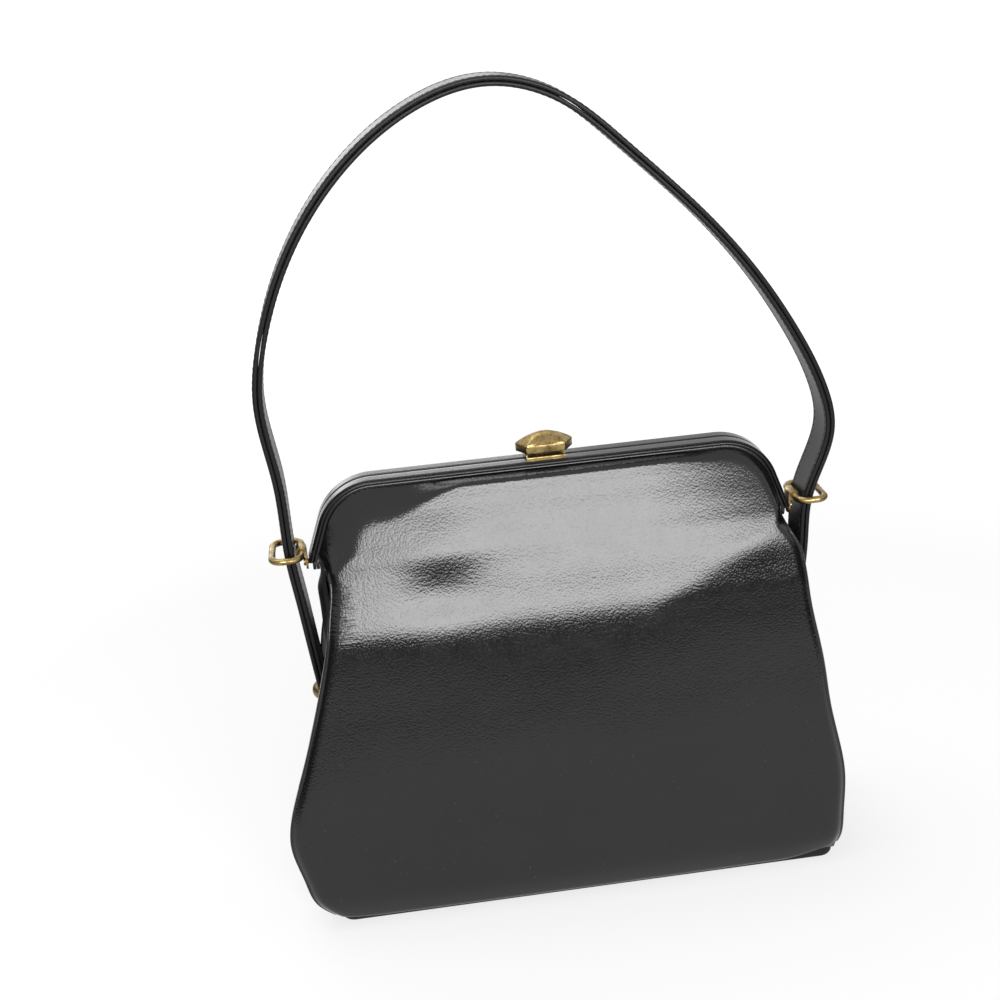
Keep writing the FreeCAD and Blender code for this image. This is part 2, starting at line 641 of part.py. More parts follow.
def cap_outline(share, z):
    """The thumb cap's six-sided outline, shrunk to a share of its size about its middle."""
    middle = (CAP_BACK - CAP_FRONT) / 2
    corners = [
        (-CAP_FACE_HALF, -CAP_FRONT), (CAP_FACE_HALF, -CAP_FRONT), (CAP_HALF_WIDTH, CAP_SHOULDER_BACK),
        (CAP_BACK_HALF, CAP_BACK), (-CAP_BACK_HALF, CAP_BACK), (-CAP_HALF_WIDTH, CAP_SHOULDER_BACK),
    ]
    points = [vec(share * x, middle + share * (y - middle), z) for x, y in corners]
    return Part.makePolygon(points + points[:1])


def clasp_cap():
    """The faceted thumb cap: upright facets, a bowed six-sided roof, hollow below."""
    pivot = FRAME_TOP + CLASP_PIVOT_RISE
    low, rim = FRAME_TOP + CAP_UNDERSIDE, FRAME_TOP + CAP_RIM
    skirt = Part.Face(cap_outline(1, low)).extrude(vec(0, 0, rim - low))
    rows = [cap_outline(size, rim + rise * (CAP_APEX - CAP_RIM)) for size, rise in roof_shares]
    roof = Part.makeLoft(rows, True, False)
    cap = skirt.fuse(roof).removeSplitter()
    ceiling = FRAME_TOP + CAP_CEILING
    reach = CAP_HALF_WIDTH + OVERRUN
    inside = CLASP_HALF_WIDTH - EAR_SET_IN + STACK_GAP
    hollow = block(-inside, inside, CAP_WALL - CAP_FRONT, CLASP_PIVOT_BACK, low - OVERRUN, ceiling)
    relief = block(-reach, reach, CLASP_PIVOT_BACK, CAP_BACK + OVERRUN, low - OVERRUN, ceiling)
    half = CLASP_HALF_WIDTH - EAR_SET_IN - EAR_PLATE - KNUCKLE_GAP
    knuckle = rod_x(KNUCKLE_RADIUS, -half, half, CLASP_PIVOT_BACK, pivot)
    y0, y1 = CLASP_PIVOT_BACK - KNUCKLE_RADIUS, CLASP_PIVOT_BACK + KNUCKLE_RADIUS
    stem = block(-half, half, y0, y1, pivot, ceiling)
    bore = rod_x(CLASP_PIN_RADIUS + RUN_FIT, -reach, reach, CLASP_PIVOT_BACK, pivot)
    return cap.cut([hollow, relief]).fuse([knuckle, stem]).cut(bore).removeSplitter()


def clasp_spring():
    """A leaf on the base plate that bears on the cap's knuckle."""
    low = FRAME_TOP + CLASP_PLATE
    return block(
        -SPRING_HALF_WIDTH, SPRING_HALF_WIDTH, CLASP_FRONT_EDGE, CLASP_BACK_EDGE, low, low + SPRING_LEAF)


def clasp_keeper():
    """The low brass bar on the front half, under the cap's lip."""
    top = FRAME_TOP + KEEPER_HEIGHT
    bar = block(-CAP_FACE_HALF, CAP_FACE_HALF, -KEEPER_FRONT, -KEEPER_BACK, FRAME_TOP, top)
    upper = [e for e in bar.Edges if min(v.Z for v in e.Vertexes) > FRAME_TOP + KEEPER_HEIGHT / 2]
    bar = bar.makeFillet(KEEPER_EDGE, upper)
    low, high = FRAME_TOP - OVERRUN, FRAME_TOP + STUD_BITE
    return bar.cut([rod_z(STUD_RADIUS + RUN_FIT, x, y, low, high) for x, y in stud_places(FRONT)])


def studs(facing, shank_top, head_on_top):
    """The two rivets that hold a clasp piece to the frame, headed in the channel."""
    inside = FRAME_TOP - COVER - STEEL
    group = []
    for x, y in stud_places(facing):
        stud = rod_z(STUD_RADIUS, x, y, inside, shank_top)
        stud = stud.fuse(rod_z(STUD_HEAD_RADIUS, x, y, inside - STUD_HEAD, inside))
        if head_on_top:
            stud = stud.fuse(rod_z(STUD_HEAD_RADIUS, x, y, shank_top, shank_top + STUD_HEAD))
        group.append(stud.removeSplitter())
    return Part.makeCompound(group)


def all_pieces():
    pieces = {
        "base_panel": base_sheet(0, PANEL, 0),
        "base_board": base_sheet(PANEL, PANEL + BASE_BOARD, SOFT_CLEAR),
        "body_lining": body_lining(),
        "handle_top_leather": handle_layer(0, STRAP_LAYER),
        "handle_under_leather": handle_layer(-STRAP_LAYER, 0),
        "clasp_base": clasp_base(),
        "clasp_pin": clasp_pin(),
        "clasp_cap": clasp_cap(),
        "clasp_spring": clasp_spring(),
        "clasp_base_rivets": studs(BACK, FRAME_TOP + CLASP_PLATE, True),
        "clasp_keeper": clasp_keeper(),
        "keeper_rivets": studs(FRONT, FRAME_TOP + STUD_BITE, False),
    }
    for name, facing in FACES.items():
        pieces[name + "_panel_lower"] = fixed_panel(facing)
        pieces[name + "_panel_upper"] = moving_panel(facing)
        pieces[name + "_lining_upper"] = moving_lining(facing)
        pieces[name + "_frame_channel"] = frame_channel(facing)
        pieces[name + "_frame_cover"] = frame_cover(facing)
    for name, side in SIDES.items():
        pieces[name + "_gusset"] = gusset(side)
        pieces[name + "_hinge_pin"] = hinge_pin(side)
        pieces[name + "_ring_clip"] = ring_clip(side)
        pieces[name + "_strap_ring"] = strap_ring(side)
        pieces[name + "_strap_end_top"] = strap_end(side, 0, STRAP_LAYER)
        pieces[name + "_strap_end_under"] = strap_end(side, -STRAP_LAYER, 0)
        pieces[name + "_strap_rivet"] = strap_rivet(side)
        pieces[name + "_rivet_washer"] = rivet_washer(side)
    return pieces


os.makedirs("parts", exist_ok=True)
for node, shape in all_pieces().items():
    shape.exportStep("parts/" + node + ".step")
    state = "valid" if shape.isValid() else "NOT VALID"
    print(node, len(shape.Solids), "solids", round(shape.Volume, 1), "mm3", state)
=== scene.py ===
import math

import bmesh
import bpy
import numpy as np
from mathutils import Matrix, Vector, noise


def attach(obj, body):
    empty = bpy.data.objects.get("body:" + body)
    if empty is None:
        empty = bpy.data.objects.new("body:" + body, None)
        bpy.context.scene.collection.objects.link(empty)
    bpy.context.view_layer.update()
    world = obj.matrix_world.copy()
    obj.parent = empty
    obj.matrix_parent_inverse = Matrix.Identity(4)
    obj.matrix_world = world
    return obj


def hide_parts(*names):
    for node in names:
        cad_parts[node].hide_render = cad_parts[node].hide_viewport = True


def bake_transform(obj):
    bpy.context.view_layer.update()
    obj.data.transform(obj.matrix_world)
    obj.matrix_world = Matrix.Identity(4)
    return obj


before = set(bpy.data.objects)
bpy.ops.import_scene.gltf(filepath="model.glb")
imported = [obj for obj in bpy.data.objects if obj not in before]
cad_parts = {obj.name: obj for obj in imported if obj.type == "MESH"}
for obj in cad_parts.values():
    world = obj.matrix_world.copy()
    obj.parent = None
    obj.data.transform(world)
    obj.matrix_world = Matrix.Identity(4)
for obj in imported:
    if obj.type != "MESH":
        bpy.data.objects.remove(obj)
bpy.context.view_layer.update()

MM = 0.001
FRONT, BACK = -1, 1
LEFT, RIGHT = -1, 1
FACE_NAMES = {FRONT: "front", BACK: "back"}
SIDE_NAMES = {LEFT: "left", RIGHT: "right"}

# Body levels in mm: height, half widths to the left and right, depth at the side edges and in the
# middle, gusset fold. The soft body hangs a little to one side.
BODY = np.array([
    (0.0, 111.5, 118.6, 36.6, 37.1, 112.6),
    (10.0, 120.6, 120.6, 39.3, 40.4, 118.0),
    (24.0, 125.3, 121.6, 39.6, 41.7, 123.0),
    (42.0, 129.4, 122.8, 37.8, 42.05, 126.0),
    (60.0, 126.1, 120.5, 35.8, 40.3, 119.0),
    (78.0, 119.6, 117.2, 33.4, 37.9, 108.3),
    (100.0, 112.2, 114.8, 30.3, 34.5, 102.5),
    (127.0, 104.3, 110.3, 27.0, 30.3, 101.3),
    (136.0, 102.2, 109.4, 25.4, 28.6, 101.5),
    (145.0, 100.6, 108.4, 22.6, 26.0, 101.8),
    (154.5, 98.9, 105.8, 19.6, 23.3, 102.05),
])
# Upper panel, from the hinges to the top of the frame: the same without the gusset
UPPER = np.array([
    (163.0, 100.2, 101.9, 16.9, 20.8),
    (166.8, 102.1, 102.3, 15.7, 19.7),
    (171.3, 101.6, 101.6, 14.2, 18.3),
    (176.5, 100.0, 100.0, 12.6, 16.8),
    (181.1, 98.35, 98.35, 11.2, 15.4),
    (185.9, 96.0, 96.0, 9.8, 13.9),
    (189.0, 93.5, 93.5, 8.9, 13.0),
    (191.3, 91.2, 91.2, 8.2, 12.3),
    (193.0, 89.0, 89.0, 7.7, 11.8),
    (194.3, 86.6, 86.6, 7.3, 11.4),
    (195.3, 84.4, 84.4, 7.0, 11.1),
    (196.6, 78.6, 78.6, 6.6, 10.7),
])
PANEL_LEVELS = np.vstack([BODY[:, :5], UPPER])
BODY_TOP = BODY[-1, 0]

# Leather thickness in mm
PANEL = 2.2
FLAP = 1.2               # panel leather where it is skived thin for the frame
GUSSET = 1.8
LINING_CLOTH = 0.7

# Frame outline and section in mm
FRAME_TOP, FRAME_HALF_RUN, FRAME_CORNER, LEG_END = 199.0, 76.0, 26.0, 164.5
LEG_LEAN = math.radians(20)
HINGE_Z = 163.0
LUG_ROOM = 4.6           # radius kept free round the hinge pins inside the leg ends
GROOVE = 4.4             # depth at which the panels sit in the frame
GROOVE_INSET = 2.2

# Strap in mm: its points are x and height
STRAP_HALF = 9.25
STRAP_LAYER = 2.1
GLUE_HALF = 0.12         # half the gap between the two layers
RIVET_AT = (107.17, 100.0)
RING_AT = (114.21, 168.5)
STITCH_IN = 1.9          # from the strap's edge to its stitches
HANDLE = np.array([
    (-115.0, 201.86), (-118.5, 237.06), (-113.0, 265.92), (-99.0, 297.96), (-76.0, 328.05), (-45.0, 350.58),
    (-14.0, 358.5), (14.0, 350.58), (40.0, 328.93), (68.0, 300.95), (92.0, 271.91), (110.0, 243.04),
    (121.0, 218.93), (124.4, 199.92),
])


# Shapes

def part_way(value, start, stop):
    """How far a value has gone from start to stop, from 0 to 1."""
    return min(1.0, max(0.0, (value - start) / (stop - start)))


def ease(value, start, stop):
    """A soft step: 0 up to start, 1 from stop on."""
    t = part_way(value, start, stop)
    return t * t * (3 - 2 * t)


def ripple(x, y, z, scale, seed):
    return noise.noise(Vector((x / scale + seed, y / scale - seed, z / scale + 2 * seed)))


def bend_points(centre, radius, start, stop, count):
    """Points along an arc, with its angles in degrees."""
    turns = np.radians(np.linspace(start, stop, count))
    return [(centre[0] + radius * math.cos(a), centre[1] + radius * math.sin(a)) for a in turns]


def run_along(points):
    """The length along a row of points, up to each of them."""
    return np.concatenate([[0], np.cumsum(np.linalg.norm(np.diff(points, axis=0), axis=1))])


def spline(x, y, at):
    """A natural cubic through the points, read at the given places."""
    x, y = np.asarray(x, float), np.asarray(y, float)
    n = len(x)
    h = np.diff(x)
    a = np.zeros((n, n))
    b = np.zeros((n,) + y.shape[1:])
    a[0, 0] = a[-1, -1] = 1
    for i in range(1, n - 1):
        a[i, i - 1:i + 2] = h[i - 1], 2 * (h[i - 1] + h[i]), h[i]
        b[i] = 6 * ((y[i + 1] - y[i]) / h[i] - (y[i] - y[i - 1]) / h[i - 1])
    m = np.linalg.solve(a, b)
    at = np.atleast_1d(np.asarray(at, float))
    k = np.clip(np.searchsorted(x, at) - 1, 0, n - 2)
    shape = (-1,) + (1,) * (y.ndim - 1)
    t0, t1, hk = [v.reshape(shape) for v in (at - x[k], x[k + 1] - at, h[k])]
    curve = (m[k] * t1 ** 3 + m[k + 1] * t0 ** 3) / (6 * hk)
    return curve + (y[k] / hk - m[k] * hk / 6) * t1 + (y[k + 1] / hk - m[k + 1] * hk / 6) * t0


def place_object(name, data):
    obj = bpy.data.objects.new(name, data)
    bpy.context.scene.collection.objects.link(obj)
    return obj


def piece(name, verts, faces, material, marks):
    """A mesh object from points in mm, with outward faces, smooth shading and named point marks."""
    mesh = bpy.data.meshes.new(name)
    mesh.from_pydata([tuple(v) for v in np.asarray(verts) * MM], [], faces)
    for label, values in marks.items():
        mark = mesh.attributes.new(label, "FLOAT", "POINT")
        mark.data.foreach_set("value", np.asarray(values, np.float32).ravel())
    bm = bmesh.new()
    bm.from_mesh(mesh)
    bmesh.ops.triangulate(bm, faces=[face for face in bm.faces if len(face.verts) > 4])
    bmesh.ops.recalc_face_normals(bm, faces=bm.faces)
    bm.to_mesh(mesh)
    bm.free()
    mesh.polygons.foreach_set("use_smooth", [True] * len(mesh.polygons))
    mesh.set_sharp_from_angle(angle=math.radians(50))
    mesh.materials.append(material)
    return place_object(name, mesh)


def tube(name, loops, material, **marks):
    """A closed skin over a row of closed loops, capped at both ends."""
    loops = np.asarray(loops, float)
    rows, n = loops.shape[:2]
    faces = []
    for r in range(rows - 1):
        for i in range(n):
            j = (i + 1) % n
            faces.append((r * n + i, r * n + j, (r + 1) * n + j, (r + 1) * n + i))
    faces.append(tuple(range(n - 1, -1, -1)))
    faces.append(tuple((rows - 1) * n + i for i in range(n)))
    return piece(name, loops.reshape(-1, 3), faces, material, marks)


# Materials

def new_material(name):
    material = bpy.data.materials.new(name)
    material.use_nodes = True
    tree = material.node_tree
    return material, tree, tree.nodes["Principled BSDF"]


def add(tree, kind, **settings):
    """A new node, with its inputs and options set by name."""
    made = tree.nodes.new(kind)
    for key, value in settings.items():
        if key in made.inputs:
            made.inputs[key].default_value = value
        else:
            setattr(made, key, value)
    return made


def feed(tree, target, source):
    """Links a socket to another one, or sets its value."""
    if isinstance(source, bpy.types.NodeSocket):
        tree.links.new(source, target)
    else:
        target.default_value = source


def finish_with(tree, shader, sources):
    """Feeds the shader's sockets by name."""
    for label, source in sources.items():
        feed(tree, shader.inputs[label], source)


def texture(tree, kind, stretch=None, turn=(0, 0, 0), **settings):
    """A texture in the object's own space, stretched and turned where asked."""
    place = add(tree, "ShaderNodeTexCoord").outputs["Object"]
    if stretch:
        mapped = add(tree, "ShaderNodeMapping", Rotation=turn, Scale=stretch)
        tree.links.new(place, mapped.inputs["Vector"])
        place = mapped.outputs["Vector"]
    made = add(tree, kind, **settings)
    tree.links.new(place, made.inputs["Vector"])
    return made


def mottle(tree, scale, detail, roughness=0.5, **space):
    """The value of a cloudy texture."""
    made = texture(tree, "ShaderNodeTexNoise", Scale=scale, Detail=detail, Roughness=roughness, **space)
    return made.outputs["Fac"]


def mixed(tree, factor, first, second, mode="MIX"):
    """Two colours mixed by a factor."""
    made = add(tree, "ShaderNodeMix", data_type="RGBA", blend_type=mode)
    for label, source in (("Factor", factor), ("A", first), ("B", second)):
        feed(tree, made.inputs[label], source)
    return made.outputs["Result"]


def worked_out(tree, operation, *sources):
    """A sum of up to three sockets or values."""
    made = add(tree, "ShaderNodeMath", operation=operation)
    for target, source in zip(made.inputs, sources):
        feed(tree, target, source)
    return made.outputs[0]


def relief(tree, height, strength, distance, under=None):
    """A bump, laid over the one under it."""
    made = add(tree, "ShaderNodeBump", Strength=strength, Distance=distance)
    tree.links.new(height, made.inputs["Height"])
    if under is not None:
        tree.links.new(under, made.inputs["Normal"])
    return made.outputs["Normal"]


def ramp(tree, source, stops):
    """A value turned into colours."""
    made = add(tree, "ShaderNodeValToRGB")
    while len(made.color_ramp.elements) < len(stops):
        made.color_ramp.elements.new(0.5)
    for element, (place, colour) in zip(made.color_ramp.elements, stops):
        element.position = place
        element.color = (*colour, 1)
    tree.links.new(source, made.inputs[0])
    return made.outputs[0]


def grey(value):
    return (value, value, value)


def shade(colour, strength=1.0):
    return (*[strength * c for c in colour], 1)


def leather(name, colour, gloss, shine, grain, grain_size, worn_colour):
    """Polished leather: fine pebble grain, uneven gloss, pale specks, creases and worn edges where marked."""
    material, tree, shader = new_material(name)
    cells = texture(tree, "ShaderNodeTexVoronoi", Scale=1000 / grain_size, feature="SMOOTH_F1", Smoothness=0.6)
    pores = mottle(tree, 900.0, 2.0)
    folds = mottle(tree, 95.0, 4.0, 0.55)
    clouds = mottle(tree, 22.0, 3.0)
    specks = ramp(tree, mottle(tree, 620.0, 1.0), [(0.745, grey(0)), (0.77, grey(0.4))])
    creases = mottle(tree, 1.0, 2.0, stretch=(80, 80, 900))
    worn, creased = [
        add(tree, "ShaderNodeAttribute", attribute_name=label).outputs["Fac"] for label in ("worn", "creased")]
    tone = mixed(tree, clouds, shade(colour, 0.75), shade(colour, 1.3))
    speckled = mixed(tree, specks, tone, shade(colour, 8))
    pebbles = worked_out(
        tree, "MULTIPLY_ADD", cells.outputs["Distance"], -0.8, worked_out(tree, "MULTIPLY", pores, 0.5))
    normal = relief(tree, pebbles, grain, 0.0003)
    normal = relief(tree, folds, 0.055, 0.0012, normal)
    normal = relief(tree, worked_out(tree, "MULTIPLY", creases, creased), 0.35, 0.0010, normal)
    finish_with(tree, shader, {
        "Base Color": mixed(tree, worn, speckled, shade(worn_colour)),
        "Roughness": worked_out(tree, "MULTIPLY_ADD", folds, 0.08, gloss - 0.04),
        "Specular IOR Level": shine,
        "Normal": normal,
    })
    return material


def brass():
    """Aged brass: warm yellow, brown tarnish in patches, fine scratches."""
    material, tree, shader = new_material("aged_brass")
    patches = mottle(tree, 260.0, 5.0, 0.6)
    grime = mottle(tree, 900.0, 4.0)
    scratches = mottle(tree, 1.0, 2.0, stretch=(300, 6000, 4000), turn=(0.3, 0.2, 0.6))
    warm = ramp(tree, patches, [
        (0.30, (0.11, 0.076, 0.030)), (0.48, (0.27, 0.195, 0.082)), (0.70, (0.41, 0.305, 0.14))])
    dirt = ramp(tree, grime, [(0.30, (0.45, 0.38, 0.30)), (0.46, grey(1))])
    finish_with(tree, shader, {
        "Base Color": mixed(tree, 1.0, warm, dirt, "MULTIPLY"),
        "Roughness": ramp(tree, patches, [(0.3, grey(0.48)), (0.7, grey(0.22))]),
        "Metallic": 1.0,
        "Normal": relief(tree, scratches, 0.08, 0.0001),
    })
    return material


def lacquered_steel():
    """Thin black lacquer on the frame's steel."""
    material, tree, shader = new_material("lacquered_steel")
    orange_peel = mottle(tree, 700.0, 2.0)
    finish_with(tree, shader, {
        "Base Color": ramp(tree, orange_peel, [(0.3, grey(0.006)), (0.7, grey(0.012))]),
        "Roughness": 0.35,
        "Normal": relief(tree, orange_peel, 0.1, 0.0002),
    })
    return material


def spring_steel():
    """Bright rolled steel of the clasp's leaf."""
    material, tree, shader = new_material("spring_steel")
    lines = mottle(tree, 1.0, 3.0, stretch=(40, 2500, 2500))
    finish_with(tree, shader, {
        "Base Color": ramp(tree, lines, [(0.3, grey(0.30)), (0.7, grey(0.48))]),
        "Roughness": ramp(tree, lines, [(0.3, grey(0.34)), (0.7, grey(0.5))]),
        "Metallic": 1.0,
    })
    return material


def lining_cloth():
    """Black ribbed rayon: fine cross ribs over a thin warp."""
    material, tree, shader = new_material("lining_cloth")
    ribs = texture(tree, "ShaderNodeTexWave", Scale=700.0, Distortion=0.6, bands_direction="Z")
    warp = texture(tree, "ShaderNodeTexWave", Scale=1100.0, Distortion=0.4, bands_direction="X")
    weave = worked_out(tree, "ADD", ribs.outputs["Fac"], warp.outputs["Fac"])
    clouds = mottle(tree, 60.0, 4.0)
    finish_with(tree, shader, {
        "Base Color": ramp(tree, clouds, [(0.3, (0.016, 0.016, 0.018)), (0.7, (0.035, 0.034, 0.037))]),
        "Roughness": 0.62,
        "Sheen Weight": 0.25,
        "Normal": relief(tree, weave, 0.35, 0.0002),
    })
    return material


def fibreboard():
    """Grey-brown pressed board with flecks."""
    material, tree, shader = new_material("fibreboard")
    flecks = mottle(tree, 800.0, 4.0)
    finish_with(tree, shader, {
        "Base Color": ramp(tree, flecks, [(0.35, (0.22, 0.16, 0.10)), (0.65, (0.40, 0.31, 0.21))]),
        "Roughness": 0.85,
    })
    return material


def thread():
    """Waxed black thread."""
    material, tree, shader = new_material("waxed_thread")
    twist = mottle(tree, 3000.0, 2.0)
    finish_with(tree, shader, {
        "Base Color": ramp(tree, twist, [(0.35, grey(0.010)), (0.65, grey(0.03))]),
        "Roughness": 0.45,
    })
    return material


# Each leather: colour, roughness, reflection, grain height, grain size in mm, worn colour
BLACK = (0.0056, 0.0052, 0.0056)
WORN = (0.030, 0.027, 0.026)
BODY_LEATHER = leather("body_leather", BLACK, 0.17, 0.42, 0.22, 0.9, WORN)
GUSSET_LEATHER = leather("gusset_leather", (0.009, 0.008, 0.008), 0.55, 0.16, 0.20, 1.1, WORN)
FRAME_LEATHER = leather("frame_leather", BLACK, 0.22, 0.40, 0.08, 0.9, WORN)
STRAP_LEATHER = leather("strap_leather", BLACK, 0.36, 0.16, 0.12, 1.1, (0.010, 0.009, 0.009))
BRASS = brass()
LACQUER = lacquered_steel()
SPRING_STEEL = spring_steel()
LINING = lining_cloth()
BOARD = fibreboard()
THREAD = thread()


# Front and back panels, in mm

LOW_EDGE = 1.9                            # height of a panel's foot above the floor
FOOT_IN, FOOT_RISE = 0.9, 1.4             # how far the foot is turned in, and over which height
EDGE_FALL, EDGE_ROLL = 1.4, 3.6           # depth and width of the roll along a side edge
LIP, LIP_RISE, LIP_HALF = 1.3, 0.7, 0.75  # the turned edge: width, and its ridge's height and half width
ROUND_OVER, ROUND_WIDTH = 1.5, 9.0        # how much further the sides fall back low down, over which width
CORNER_LIFT, CORNER_HEIGHT = 4.5, 26.0    # how far the lower right corners rise, and up to which height
LEFT_LIFT = 0.25                          # the left corners' share of that
BACK_TUCK = 0.06                          # share of the left width that is drawn in at the back
BUCKLE_X, BUCKLE_Z = -51.0, 159.0
BUCKLE_WIDTH, BUCKLE_HEIGHT, BUCKLE_DEPTH = 19.0, 14.0, 1.85
BEND_Z, BEND_SOFT = 133.0, 2.0            # where the panels lean back more, and how soft that bend is
STEEP_RUN, STEEPER = 30.0, 0.15           # how much further up the right stays steep, and by which slope
RIPPLE_SEEDS = {FRONT: 3.1, BACK: 11.7}


def panel_heights():
    low = np.array([LOW_EDGE, 2.3, 3.0, 4.0, 5.5, 7.5])
    body = np.linspace(10, 160, 92)
    top = np.concatenate([np.linspace(161.5, 186.5, 18), np.linspace(187.5, 196.4, 14)])
    return np.concatenate([low, body, top])


def across():
    """Places across a panel as shares of its half width, close together near the side edges."""
    near = np.array([0, 0.3, 0.6, 0.9, 1.2, 1.5, 1.9, 2.4, 3.0, 3.6, 4.3, 5.1, 6.2, 7.6, 9.5, 12, 14]) / 100.0
    inner = np.linspace(0.16, 1.0, 38)
    half = 1 - np.concatenate([near, inner])
    return np.concatenate([-half, half[::-1][1:]])


def frame_inset(x, z):
    """How far a point lies inside the frame's outline."""
    out, up = abs(x) - FRAME_HALF_RUN, z - (FRAME_TOP - FRAME_CORNER)
    if out < 0:
        return FRAME_TOP - z
    if math.atan2(up, out) > LEG_LEAN:
        return FRAME_CORNER - math.hypot(out, up)
    return FRAME_CORNER - out * math.cos(LEG_LEAN) - up * math.sin(LEG_LEAN)


def buckle(x, z):
    """A shallow buckle left of the middle, out above and in below."""
    up = (z - BUCKLE_Z) / BUCKLE_HEIGHT
    return BUCKLE_DEPTH * up * math.exp(-((x - BUCKLE_X) / BUCKLE_WIDTH) ** 2 - up ** 2)


def steep_right(x, z):
    """How far the front panel's right stands out, where it stays steep past the bend."""
    past = z - BEND_Z
    run = STEEP_RUN * part_way(x, 38, 100)
    kept = math.log1p(math.exp(past / BEND_SOFT)) - math.log1p(math.exp((past - run) / BEND_SOFT))
    return STEEPER * BEND_SOFT * kept * ease(z, 200, 155)


def panel_depth(x, z, width, edge, middle, facing):
    """How far the panel's outer face stands out from the parting plane."""
    share = abs(x) / width
    depth = edge + (middle - edge) * (1 - share ** (2.0 + 0.8 * ease(z, 95, 130)))
    hush = min(1.0, (1 - share) * 6) * part_way(z, 184, 159) * part_way(z, 0, 25)
    seed = RIPPLE_SEEDS[facing]
    depth += hush * (0.5 * ripple(x, 0, z, 70, seed) + 0.10 * ripple(x, 0, z, 28, seed + 5))
    if facing == FRONT:
        depth += steep_right(x, z) + buckle(x, z)
    held = ease(z, 159, 166)
    roll = 3.2 + 12.8 * ease(x, -36, -76) * ease(z, 160, 172) + 2.2 * ease(x, 50, 75)
    inside = min(frame_inset(x, z) - GROOVE_INSET, width - abs(x))
    return depth - (depth - GROOVE) * held * max(0.0, 1 - max(0.0, inside) / roll) ** 2


def side_edge(from_edge, z):
    """How far the panel falls back towards its side edge: a roll, then the lip of the turned edge."""
    roll = EDGE_FALL * max(0.0, 1 - max(0.0, from_edge - LIP) / EDGE_ROLL) ** 2
    roll += ROUND_OVER * ease(z, 95, 55) * max(0.0, 1 - from_edge / ROUND_WIDTH) ** 2
    lip = LIP_RISE * ease(z, 55, 95) * max(0.0, 1 - ((from_edge - LIP_HALF) / LIP_HALF) ** 2)
    return ease(z, 168, 159) * (roll - lip)


def corner_lift(x, z):
    """How far the body's lower edge rises towards its corners."""
    corner = CORNER_LIFT if x > 0 else LEFT_LIFT * CORNER_LIFT
    return corner * ease(abs(x), 92, 118) * max(0.0, 1 - z / CORNER_HEIGHT) ** 2


def tuck(x, y, z):
    """The body's left side drawn in towards the back, low down."""
    if x > 0 or y < 0:
        return x
    return x * (1 - BACK_TUCK * ease(z, 5, 35) * ease(z, 125, 75) * ease(y, 0, 34))


def panel_loop(z, left, right, edge, middle, facing, thickness, inset):
    """One level of a panel: across its outer face and back along its inner one."""
    outer, inner, worn, creased = [], [], [], []
    for share in across():
        width = left if share < 0 else right
        x = share * (width - inset)
        depth = panel_depth(x, z, width, edge, middle, facing) - inset
        from_edge = (1 - abs(share)) * (width - inset)
        fall = 0.0 if inset else side_edge(from_edge, z)
        lift = corner_lift(x, z)
        for y, side in ((depth - fall, outer), (depth - max(fall, 0) - thickness, inner)):
            side.append((tuck(x, facing * y, z), facing * y, z + lift))
        worn.append(ease(from_edge, 1.2, 0) * ease(z, 168, 159) * ease(z, 55, 95))
        creases = ease(abs(from_edge - 7), 8, 0) * ease(z, 162, 152) * ease(z, 128, 136)
        creased.append(creases if x < 0 else 0.0)
    return outer + inner[::-1], worn + [0.0] * len(inner), creased + [0.0] * len(inner)


def panel(facing):
    """The front or back of the body, from its foot up into the frame."""
    name = FACE_NAMES[facing]
    heights = panel_heights()
    loops, worn_all, creased_all = [], [], []
    for z, sizes in zip(heights, spline(PANEL_LEVELS[:, 0], PANEL_LEVELS[:, 1:], heights)):
        turned_in = FOOT_IN * max(0.0, 1 - (z - LOW_EDGE) / FOOT_RISE) ** 2
        thickness = FLAP + (PANEL - FLAP) * ease(z, 164, 154)
        loop, worn, creased = panel_loop(z, *(sizes - turned_in), facing, thickness, 0)
        loops.append(loop)
        worn_all.append(worn)
        creased_all.append(creased)
    made = tube(name + "_panel", loops, BODY_LEATHER, worn=worn_all, creased=creased_all)
    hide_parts(name + "_panel_lower", name + "_panel_upper")
    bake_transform(made)


def upper_lining(facing):
    """The lining of a frame half."""
    name = FACE_NAMES[facing]
    heights = np.concatenate([np.linspace(134, 188, 46), np.linspace(189, 194.6, 7)])
    levels = spline(PANEL_LEVELS[:, 0], PANEL_LEVELS[:, 1:], heights)
    loops = []
    for z, (left, right, edge, middle) in zip(heights, levels):
        drop = 1.6 + 2.6 * ease(z, 172, 142)
        wider = drop - 1.0 - 5.5 * ease(z, 172, 166)
        loops.append(panel_loop(z, left + wider, right + wider, edge, middle, facing, LINING_CLOTH, drop)[0])
    made = tube(name + "_lining", loops, LINING)
    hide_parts(name + "_lining_upper")
    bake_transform(made)


for facing in (FRONT, BACK):
    panel(facing)
    upper_lining(facing)


# Gussets, in mm

SEAM_GAP = 0.15          # between a gusset's border and the panel's inner face
SEAM_STEP = 0.5          # how far the panel's edge stands past the gusset low down
NECK = 4.2               # half depth of a gusset's top, round the hinge
NECK_FROM = 143.0
NECK_FULL = {LEFT: 161.0, RIGHT: 157.0}
FOLD_BULGE = {LEFT: 2.6, RIGHT: 0.0}


def gusset_heights():
    foot = [LOW_EDGE, 2.6, 3.6, 5, 7]
    top = [154, 155.5, 157, 158.5, 160, 161.5, 163, 164.5, 165.8, 166.7, 167.1]
    return np.concatenate([foot, np.linspace(9, 152, 80), top])


